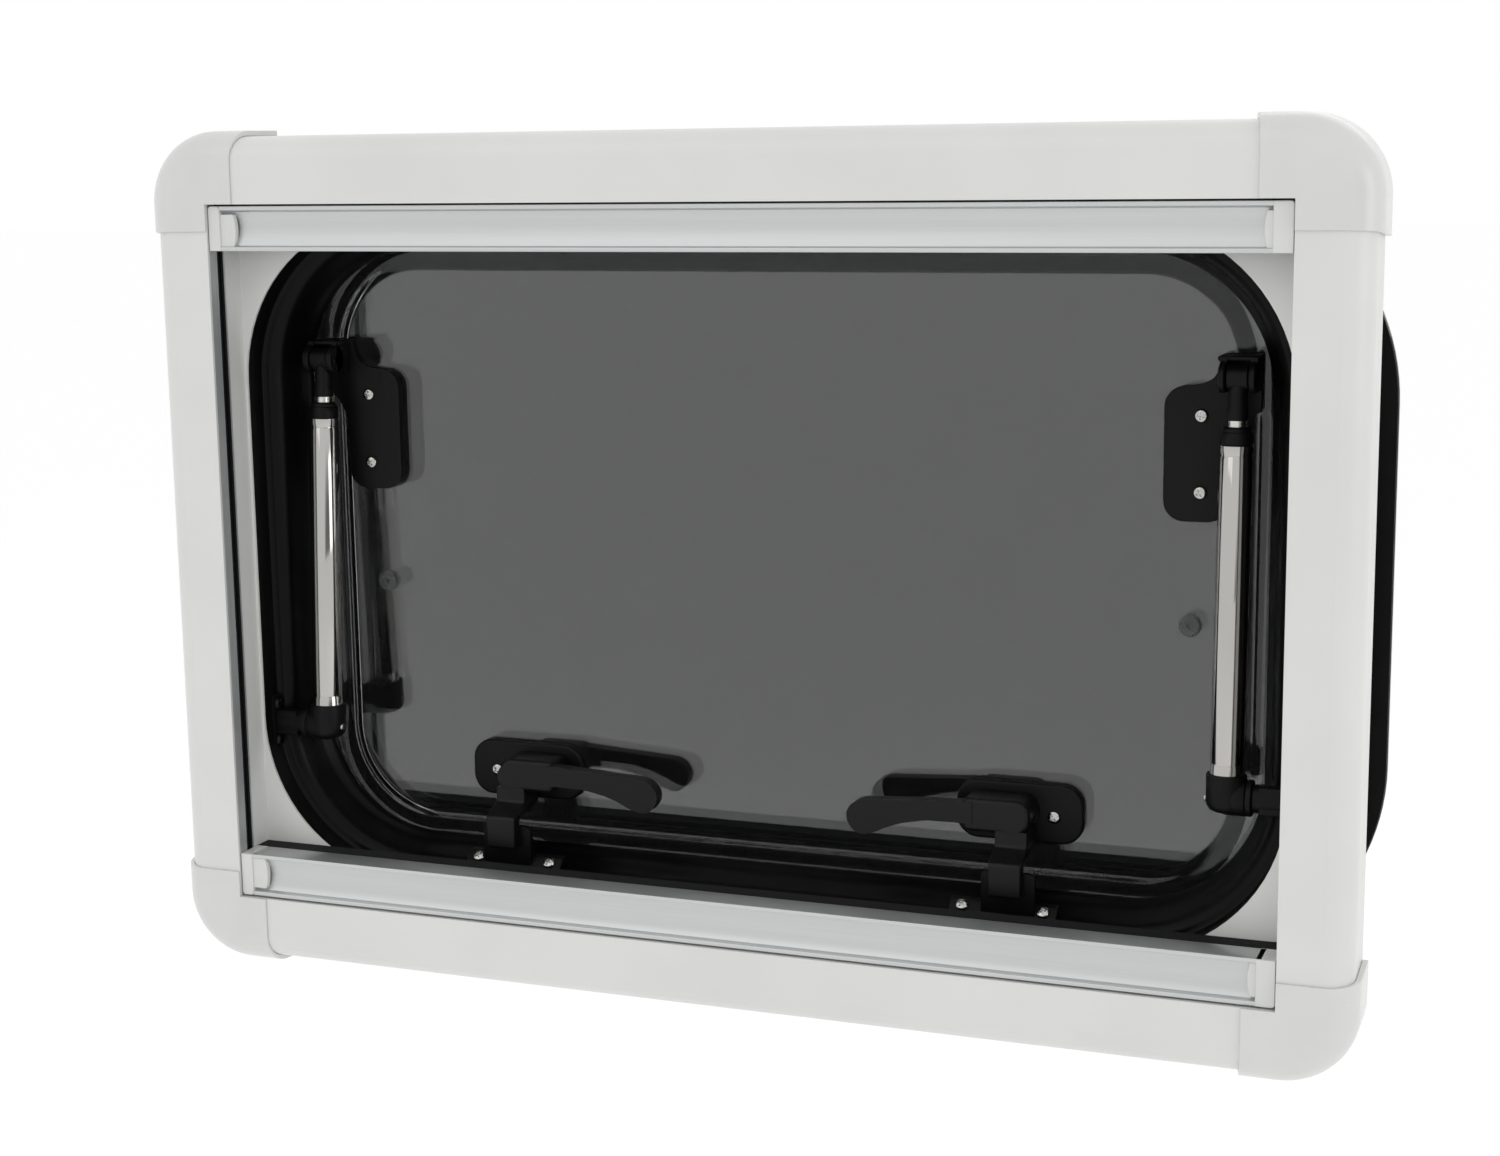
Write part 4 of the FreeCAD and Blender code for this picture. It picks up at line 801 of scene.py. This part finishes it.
def leverShape(sx):
    x, z = latch["x"], latch["z"]
    handle = prism(
        [(118.5, z + 8.4), (102, z + 7.4), (88.5, z + 6.6), (64, z + 5.2), (58, z + 1.2),
         (56, z - 5.4), (59.5, z - 12.0), (65, z - 14.8), (72.5, z - 13.0), (80.5, z - 9.0),
         (88.5, z - 6.2), (101.5, z - 3.6), (118.5, z - 3.2), (128, z - 3.6), (128, z + 8.8)],
        "y", latch["handleNear"], latch["handleNear"] + latch["handleThick"],
    )
    roundEdges(handle, along(handle, "y", lambda m: m.x < 126), 3.2, 4)
    roundEdges(handle, rim(handle, "y", latch["handleNear"]), 1.4, 4)
    roundEdges(handle, rim(handle, "y", latch["handleNear"] + latch["handleThick"]), 1.2, 3)
    hub = block((122.5, latch["face"], z - 8), (latch["hubEnd"][sx], latch["rear"], z + 10.8))
    roundEdges(hub, along(hub, "y", lambda m: m.x > 155), 7.5, 8)
    roundEdges(hub, along(hub, "y", lambda m: m.x < 125), 3, 4)
    roundEdges(hub, rim(hub, "y", latch["face"]), 3.2, 6)
    tongue = prism(
        [(14, z - 6), (14, z - 14.3), (0.02, z - 20.7), (0.02, z - 39.2), (8, z - 39.2),
         (8, z - 22.7), (22, z - 20.7), (32.8, z - 18.5), (32.8, z - 6)],
        "x", x - 9, x + 9,
    )
    roundEdges(tongue, along(tongue, "x", lambda m: m.y < 20 and m.z < z - 10), 1.8, 5)
    roundEdges(tongue, rim(tongue, "x", x - 9) + rim(tongue, "x", x + 9), 1.0, 3)
    stem = aim(lathe([(0, 0), (latch["stem"], 0), (latch["stem"], 4.2), (0, 4.2)], 40),
               (x, 31.8, z), (0, 1, 0))
    return flipped(merged([handle, hub, stem, tongue]), sx)


pivot = {"near": 13.9, "radius": 8, "thick": 0.8, "shaft": 3}
buttons = []
for side, sx in (("left", -1), ("right", 1)):
    finishPiece(f"{side}_latch_plate", latchBase(sx), finishes["nylon"], "sash",
                [f"{side}_latch_base"])
    finishPiece(f"{side}_lever_moulding", leverShape(sx), finishes["leverNylon"], f"{side}_latch",
                [f"{side}_latch_lever"])
    wide, deep = pivot["radius"], pivot["thick"]
    button = lathe([(0, 0), (wide - 0.9, 0), (wide - 0.3, 0.15), (wide, 0.5), (wide, deep),
                    (pivot["shaft"], deep), (pivot["shaft"], 26.7), (0, 26.7)], 48)
    buttons.append(aim(button, (sx * latch["x"], pivot["near"], latch["z"]), (0, 1, 0)))
finishPiece("latch_pivot_buttons", merged(buttons), finishes["leverNylon"], "sash",
            ["latch_pivots"])
print("latches made")


# stay brackets on the inner pane

stay = {
    "x": 265, "topY": 20, "topZ": 110, "footY": 8.5, "footZ": -105, "tube": 8.6, "rod": 4.6,
    "tubeTop": 33, "stroke": 61, "knuckle": 9.6,
}


def bracketShape(sx):
    x, y, z = stay["x"], stay["topY"], stay["topZ"]
    plate = prism(
        [(224.5, 33), (258.5, 33), (258.5, 66), (259.2, 73), (261, 79), (264, 84.5), (268.6, 88.8),
         (274.4, 91), (274.4, 120.6), (254, 120.6), (253.0, 113), (249.5, 107.5), (243, 104.6),
         (237, 103.8), (224.5, 103.8)], "y", 35, 40,
    )
    roundEdges(plate, along(plate, "y", lambda m: m.x < 226 or m.z < 34), 11, 8)
    roundEdges(plate, along(plate, "y", lambda m: 236 < m.x < 257 and m.z > 100), 2.6, 4)
    roundEdges(plate, rim(plate, "y", 35), 1.5, 4)
    shapes = [plate]
    for start in (x - 9.4, x + 6.0):
        cheek = lathe([(0, 0), (7.2, 0), (8, 0.6), (8, 2.8), (7.2, 3.4), (0, 3.4)], 36)
        shapes.append(aim(cheek, (start, y, z), (1, 0, 0)))
        web = block((start, y, z - 7.9), (start + 3.4, 39.5, z + 10))
        roundEdges(web, along(web, "y", lambda m: m.z < z) + along(web, "x", lambda m: m.z < z), 0.6, 3)
        shapes.append(web)
    hood = block((254, y + 1, z + 8), (274.4, 39.5, z + 10.6))
    roundEdges(hood, along(hood, "y"), 1.2, 4)
    roundEdges(hood, rim(hood, "y", y + 1), 0.8, 3)
    pin = lathe([(0, 0), (2.2, 0), (2.44, 0.3), (2.44, 18.5), (2.2, 18.8), (0, 18.8)], 24)
    shapes += [hood, aim(pin, (x - 9.4, y, z), (1, 0, 0))]
    return flipped(merged(shapes), sx)


# stays: head, rod, collar, tube and foot along one line

stayTop = Vector((0, stay["topY"], stay["topZ"]))
stayFoot = Vector((0, stay["footY"], stay["footZ"]))
stayDown = (stayFoot - stayTop).normalized()
stayLength = (stayFoot - stayTop).length


def onStay(bm, sx, distance):
    # puts a turned shape on the stay's line, its z axis pointing down the stay
    return aim(bm, Vector((sx * stay["x"], 0, 0)) + stayTop + stayDown * distance, stayDown)


def stayPieces(side, sx):
    tubeTop, tube, rod = stay["tubeTop"], stay["tube"], stay["rod"]
    eye = lathe([(2.5, 0), (5.9, 0), (6.5, 0.5), (6.5, 10.5), (5.9, 11), (2.5, 11)], 36, closed=True)
    aim(eye, (sx * stay["x"] - 5.5, stay["topY"], stay["topZ"]), (1, 0, 0))
    stem = onStay(lathe([(0, 3.2), (4.9, 3.2), (5.0, 15), (5.4, 16), (5.4, 21.4), (5.0, 21.8), (0, 21.8)],
                        36), sx, 0)
    finishPiece(f"{side}_stay_eye", merged([eye, stem]), finishes["nylon"], f"{side}_stay_rod",
                [f"{side}_stay_head"])
    end = tubeTop + stay["stroke"] + 25
    bar = lathe([(0, 11.2), (rod, 11.2), (rod, end - 8), (tube - 1.06, end - 8), (tube - 1.06, end),
                 (0, end)], 36)
    finishPiece(f"{side}_stay_bar", onStay(bar, sx, 0), finishes["steel"], f"{side}_stay_rod",
                [f"{side}_stay_rod"])
    collar = lathe(
        [(rod + 0.06, tubeTop - 8), (tube - 2.2, tubeTop - 8), (tube - 1.5, tubeTop - 7.4),
         (tube - 1.2, tubeTop - 6.6), (tube - 1.2, tubeTop - 5.6), (tube - 0.9, tubeTop - 5.2),
         (tube - 0.5, tubeTop - 4.6), (tube - 0.4, tubeTop + 0.9), (tube - 1.1, tubeTop + 1.0),
         (tube - 1.1, tubeTop + 9), (rod + 0.06, tubeTop + 9)], 40, closed=True,
    )
    finishPiece(f"{side}_stay_ring", onStay(collar, sx, 0), finishes["nylon"], f"{side}_stay_tube",
                [f"{side}_stay_collar"])
    top, low = tubeTop + 1, stayLength - 3
    shell = lathe(
        [(tube - 1, top), (tube - 0.5, top), (tube, top + 0.5), (tube, top + 4.2),
         (tube - 0.45, top + 5.0), (tube - 0.45, top + 5.8), (tube, top + 6.6),
         (tube, low - 15.6), (tube - 0.4, low - 14.8), (tube - 0.4, low - 14.0), (tube, low - 13.2),
         (tube, low), (tube - 1, low)], 48, closed=True,
    )
    finishPiece(f"{side}_stay_sleeve", onStay(shell, sx, 0), finishes["chrome"], f"{side}_stay_tube",
                [f"{side}_stay_tube"])
    socket = onStay(lathe(
        [(tube, stayLength - 12), (tube + 1.4, stayLength - 12), (tube + 1.8, stayLength - 11.4),
         (tube + 1.8, stayLength + 1), (tube + 1.4, stayLength + 4.2), (tube - 0.2, stayLength + 6.8),
         (tube - 3, stayLength + 8), (0, stayLength + 8), (0, stayLength - 3), (tube, stayLength - 3)],
        44), sx, 0)
    wide = stay["knuckle"]
    knuckle = lathe([(0, -3), (wide - 1.8, -3), (wide - 0.6, -1.8), (wide, 0), (wide, tube + 1.5),
                     (wide - 0.4, tube + 2), (0, tube + 2)], 44)
    aim(knuckle, (sx * stay["x"], stay["footY"], stay["footZ"]), (sx, 0, 0))
    finishPiece(f"{side}_stay_elbow", merged([socket, knuckle]), finishes["nylon"],
                f"{side}_stay_tube", [f"{side}_stay_foot"], 45)


def elbowScrew(sx):
    # small pivot screw on the elbow's inner face
    bm = bmesh.new()
    bm.from_mesh(crossHeadMesh)
    bmesh.ops.scale(bm, vec=(0.55, 0.55, 0.5), verts=bm.verts)
    start = sx * (stay["x"] - stay["tube"] - 1.4)
    return aim(bm, (start, stay["footY"] - 1.5, stay["footZ"] - 1), (sx, 0, 0))


def baseShape(sx):
    # the boss that the elbow turns against, with its foot on the frame's side wall
    end, level, depth, wide = stay["x"] + stay["tube"] + 2.4, stay["footZ"], stay["footY"], stay["knuckle"]
    boss = lathe([(0, 0), (wide - 0.4, 0), (wide, 0.5), (wide, 2.6), (wide - 0.6, 3.0), (7.4, 3.6),
                  (7.4, 20), (0, 20)], 44)
    aim(boss, (end, depth, level), (1, 0, 0))
    post = block((end + 7, depth - 6.4, level - 7.5), (298.4, depth - 0.6, level + 7.5))
    roundEdges(post, along(post, "x"), 1.5, 4)
    foot = block((296.6, 0.2, level - 17), (298.7, 8.0, level + 17))
    roundEdges(foot, along(foot, "x"), 2.5, 5)
    return flipped(merged([boss, post, foot]), sx)


bases = []
for side, sx in (("left", -1), ("right", 1)):
    finishPiece(f"{side}_bracket_moulding", bracketShape(sx), finishes["nylon"], "sash",
                [f"{side}_stay_bracket"])
    stayPieces(side, sx)
    finishPiece(f"{side}_elbow_screw", elbowScrew(sx), finishes["zinc"], f"{side}_stay_tube")
    bases.append(baseShape(sx))
finishPiece("stay_base_pair", merged(bases), finishes["nylon"], "frame",
            ["stay_bases"])
print("stays made")


# pull bars with their end caps

bar = {
    "half": 292.2, "nose": -38.5, "depth": 17.5, "tall": 24.8, "low": 174.7, "lip": 2.2,
    "groove": 3.8, "capWide": 7.3, "tab": {-1: 9.6, 1: 6.8}, "over": {-1: 0, 1: 2.6},
    "brush": 299.4, "trough": 2.4,
}


def barShape(sz):
    # drawn for the top bar, low lip first; the bottom bar is its mirror image
    nose, back, low, tall = bar["nose"], bar["nose"] + bar["depth"], bar["low"], bar["tall"]
    deep, lip = bar["groove"], bar["lip"]
    outline = [
        (nose, low), (back, low), (back, low + tall), (nose, low + tall), (nose, low + tall - lip),
    ]
    first, last = low + tall - lip * 1.5, low + lip * 1.35
    for step in range(13):  # the groove's floor is a shallow trough
        part = step / 12
        outline.append((nose + deep * 0.7 + bar["trough"] * math.sin(math.pi * part ** 0.8),
                        first + (last - first) * part))
    outline.append((nose, low + lip))
    shape = prism(outline, "x", -bar["half"], bar["half"])
    roundEdges(shape, along(shape, "x", lambda m: m.y < nose + 0.1 or m.y > back - 0.1), 0.45, 3)
    return flipped(shape, 1, sz)


def capShape(sx, sz):
    nose, low, tall = bar["nose"] - 0.4, bar["low"], bar["tall"]
    back, inner = bar["nose"] + bar["depth"], bar["half"]
    body = block((inner - bar["over"][sx], nose, low), (inner + bar["capWide"], back, low + tall))
    roundEdges(body, along(body, "y", lambda m: m.x > inner and m.z > low + 20), 1.8, 5)
    roundEdges(body, rim(body, "y", nose), 0.6, 4)
    # the tab fills the groove from the near lip and has a bowed free end
    reach, foot, top = inner - bar["tab"][sx], low + bar["lip"] + 0.1, low + tall - 4.6
    bow = [(inner + 1, foot), (reach + 1.6, foot)]
    for step in range(-3, 4):
        bow.append((reach + (step / 3) ** 2 * 1.2, (foot + top) / 2 + step / 3 * (top - foot) / 2.1))
    bow += [(reach + 1.6, top), (inner + 1, top)]
    tab = prism(bow, "y", bar["nose"] + 0.7, bar["nose"] + bar["groove"])
    roundEdges(tab, rim(tab, "y", bar["nose"] + 0.7), 0.4, 3)
    tongue = block((inner + 2, -28.75, low + 1), (308, -27.15, low + tall - 1))
    return flipped(merged([body, tab, tongue]), sx, sz)


for name, sz in (("flyscreen", 1), ("blackout", -1)):
    finishPiece(f"{name}_pull_rail", barShape(sz), finishes["barAluminium"], f"{name}_bar",
                [f"{name}_bar"], 30)
    for side, sx in (("left", -1), ("right", 1)):
        finishPiece(f"{name}_{side}_end_cap", capShape(sx, sz), finishes["asa"], f"{name}_bar",
                    [f"{name}_{side}_cap"])
    strip = block((-bar["brush"], bar["nose"] + bar["depth"], bar["low"]),
                  (bar["brush"], -9, bar["low"] + 3))
    finishPiece(f"{name}_pile_strip", flipped(strip, 1, sz), finishes["pile"], f"{name}_bar",
                [f"{name}_bar_brush"])
print("pull bars made")


# roller cloths: wound on the tube, then down to the bar

cloth = {
    "half": 307, "core": 5.6, "turns": 8, "pitch": 0.31, "axisY": -19.35, "axisZ": 216,
    "planeY": -27.95, "barEdge": 199.0, "rows": 24, "stepsPerTurn": 24,
}


def clothShape(sz):
    bm = bmesh.new()
    layer = bm.loops.layers.uv.new("cloth")
    steps = cloth["turns"] * cloth["stepsPerTurn"]
    line = []
    for n in range(steps + 1):  # from the core out to the point where the cloth leaves the roll
        turn = math.tau * (n - steps) / cloth["stepsPerTurn"]
        radius = cloth["core"] + cloth["pitch"] * n / cloth["stepsPerTurn"]
        line.append((cloth["axisY"] - radius * math.cos(turn), cloth["axisZ"] + radius * math.sin(turn)))
    drop = cloth["axisZ"] - cloth["barEdge"]
    for n in range(1, cloth["rows"] + 1):
        share = n / cloth["rows"]
        lean = line[steps][0] + (cloth["planeY"] - line[steps][0]) * min(1, share * 2)
        line.append((lean, cloth["axisZ"] - drop * share))
    lengths = [0.0]
    for here, there in zip(line, line[1:]):
        lengths.append(lengths[-1] + math.dist(here, there))
    row = [bm.verts.new((-cloth["half"], y, z)) for y, z in line]
    reach = {}
    edges = []
    for n in range(len(row) - 1):
        edges.append(bm.edges.new((row[n], row[n + 1])))
    grown = bmesh.ops.extrude_edge_only(bm, edges=edges)
    moved = [item for item in grown["geom"] if isinstance(item, bmesh.types.BMVert)]
    bmesh.ops.translate(bm, vec=(2 * cloth["half"], 0, 0), verts=moved)
    for vert in bm.verts:
        spot = min(range(len(line)), key=lambda n: math.dist(line[n], vert.co[1:]))
        reach[vert] = lengths[spot]
    for face in bm.faces:
        for loop in face.loops:
            loop[layer].uv = (loop.vert.co.x / 1000, reach[loop.vert] / 1000)
    flipped(bm, 1, sz)
    return bm, lengths[-1]


for name, sz, finish, slot in (
    ("flyscreen", 1, "mesh", "screen_mesh"), ("blackout", -1, "blackout", "blackout_cloth"),
):
    shape, length = clothShape(sz)
    bmesh.ops.scale(shape, vec=(0.001, 0.001, 0.001), verts=shape.verts)
    mesh = bpy.data.meshes.new(f"{name}_cloth")
    shape.to_mesh(mesh)
    shape.free()
    mesh.materials.append(finishes[finish])
    mesh.shade_smooth()
    piece = bpy.data.objects.new(f"{name}_cloth", mesh)
    bpy.context.scene.collection.objects.link(piece)
    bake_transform(piece)
    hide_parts(f"{name}_roll", f"{name}_web")
    print(name, "cloth length", round(length), "mm")


# studio: pale floor, soft light, camera

studioSizes = {
    "floorReach": 40, "floorHeight": -1.1,
    # the darker side of the room: its direction, where it starts and ends, its strength
    "darkWay": (0.76, -0.64, -0.12), "darkStart": 0.86, "darkEnd": 0.95, "darkLevel": 0.25,
    # place, size in m, power in W
    "lamps": {
        "key": ((-1.2, -2.2, 2.2), 2.0, 7), "side": ((2.6, -0.85, 0.5), 1.2, 9),
        "back": ((0.6, 1.8, 1.6), 1.6, 6),
    },
    "lens": 58.15, "sensor": 36,
    "cameraPlace": (0.47246, -1.20804, 0.22598), "cameraTurn": (79.9985, 0.7796, 20.9293),
}


def studio():
    world = bpy.data.worlds.new("studio")
    bpy.context.scene.world = world
    world.use_nodes = True
    # white all round; a darker side of the room at the right shows only in gloss and chrome
    tree = world.node_tree
    place = addNode(tree, "ShaderNodeTexCoord")
    facing = addNode(
        tree, "ShaderNodeVectorMath", settings={"operation": "DOT_PRODUCT"},
        values={1: studioSizes["darkWay"]}, links={0: place.outputs["Generated"]},
    )
    dim = addNode(
        tree, "ShaderNodeMapRange",
        values={
            "From Min": studioSizes["darkStart"], "From Max": studioSizes["darkEnd"],
            "To Min": 1.0, "To Max": studioSizes["darkLevel"],
        },
        links={"Value": facing.outputs["Value"]},
    )
    path = addNode(tree, "ShaderNodeLightPath")
    seen = addNode(
        tree, "ShaderNodeMath", settings={"operation": "MAXIMUM"},
        links={0: path.outputs["Is Camera Ray"], 1: dim.outputs["Result"]},
    )
    tree.links.new(seen.outputs["Value"], tree.nodes["Background"].inputs["Strength"])
    tree.nodes["Background"].inputs["Color"].default_value = (1, 1, 1, 1)
    floorMesh = bmesh.new()
    bmesh.ops.create_grid(floorMesh, x_segments=1, y_segments=1, size=studioSizes["floorReach"])
    mesh = bpy.data.meshes.new("floor")
    floorMesh.to_mesh(mesh)
    floorMesh.free()
    floor = bpy.data.objects.new("floor", mesh)
    floor.location = (0, 0, studioSizes["floorHeight"])
    bpy.context.scene.collection.objects.link(floor)
    pale, tree, shader = newFinish("painted_studio_floor", "#ffffff", 0.0, 0.9)
    mesh.materials.append(pale)
    for name, (spot, size, power) in studioSizes["lamps"].items():
        lamp = bpy.data.lights.new(name, "AREA")
        lamp.size, lamp.energy = size, power
        holder = bpy.data.objects.new(name, lamp)
        holder.location = spot
        holder.rotation_mode = "QUATERNION"
        holder.rotation_quaternion = (-Vector(spot)).to_track_quat("-Z", "Y")
        bpy.context.scene.collection.objects.link(holder)
    view = bpy.context.scene.view_settings
    view.view_transform, view.look = "Standard", "None"
    lens = bpy.data.cameras.new("camera")
    lens.lens, lens.sensor_width = studioSizes["lens"], studioSizes["sensor"]
    camera = bpy.data.objects.new("camera", lens)
    camera.location = studioSizes["cameraPlace"]
    camera.rotation_euler = [math.radians(a) for a in studioSizes["cameraTurn"]]
    bpy.context.scene.collection.objects.link(camera)
    bpy.context.scene.camera = camera


studio()
print("scene ready")
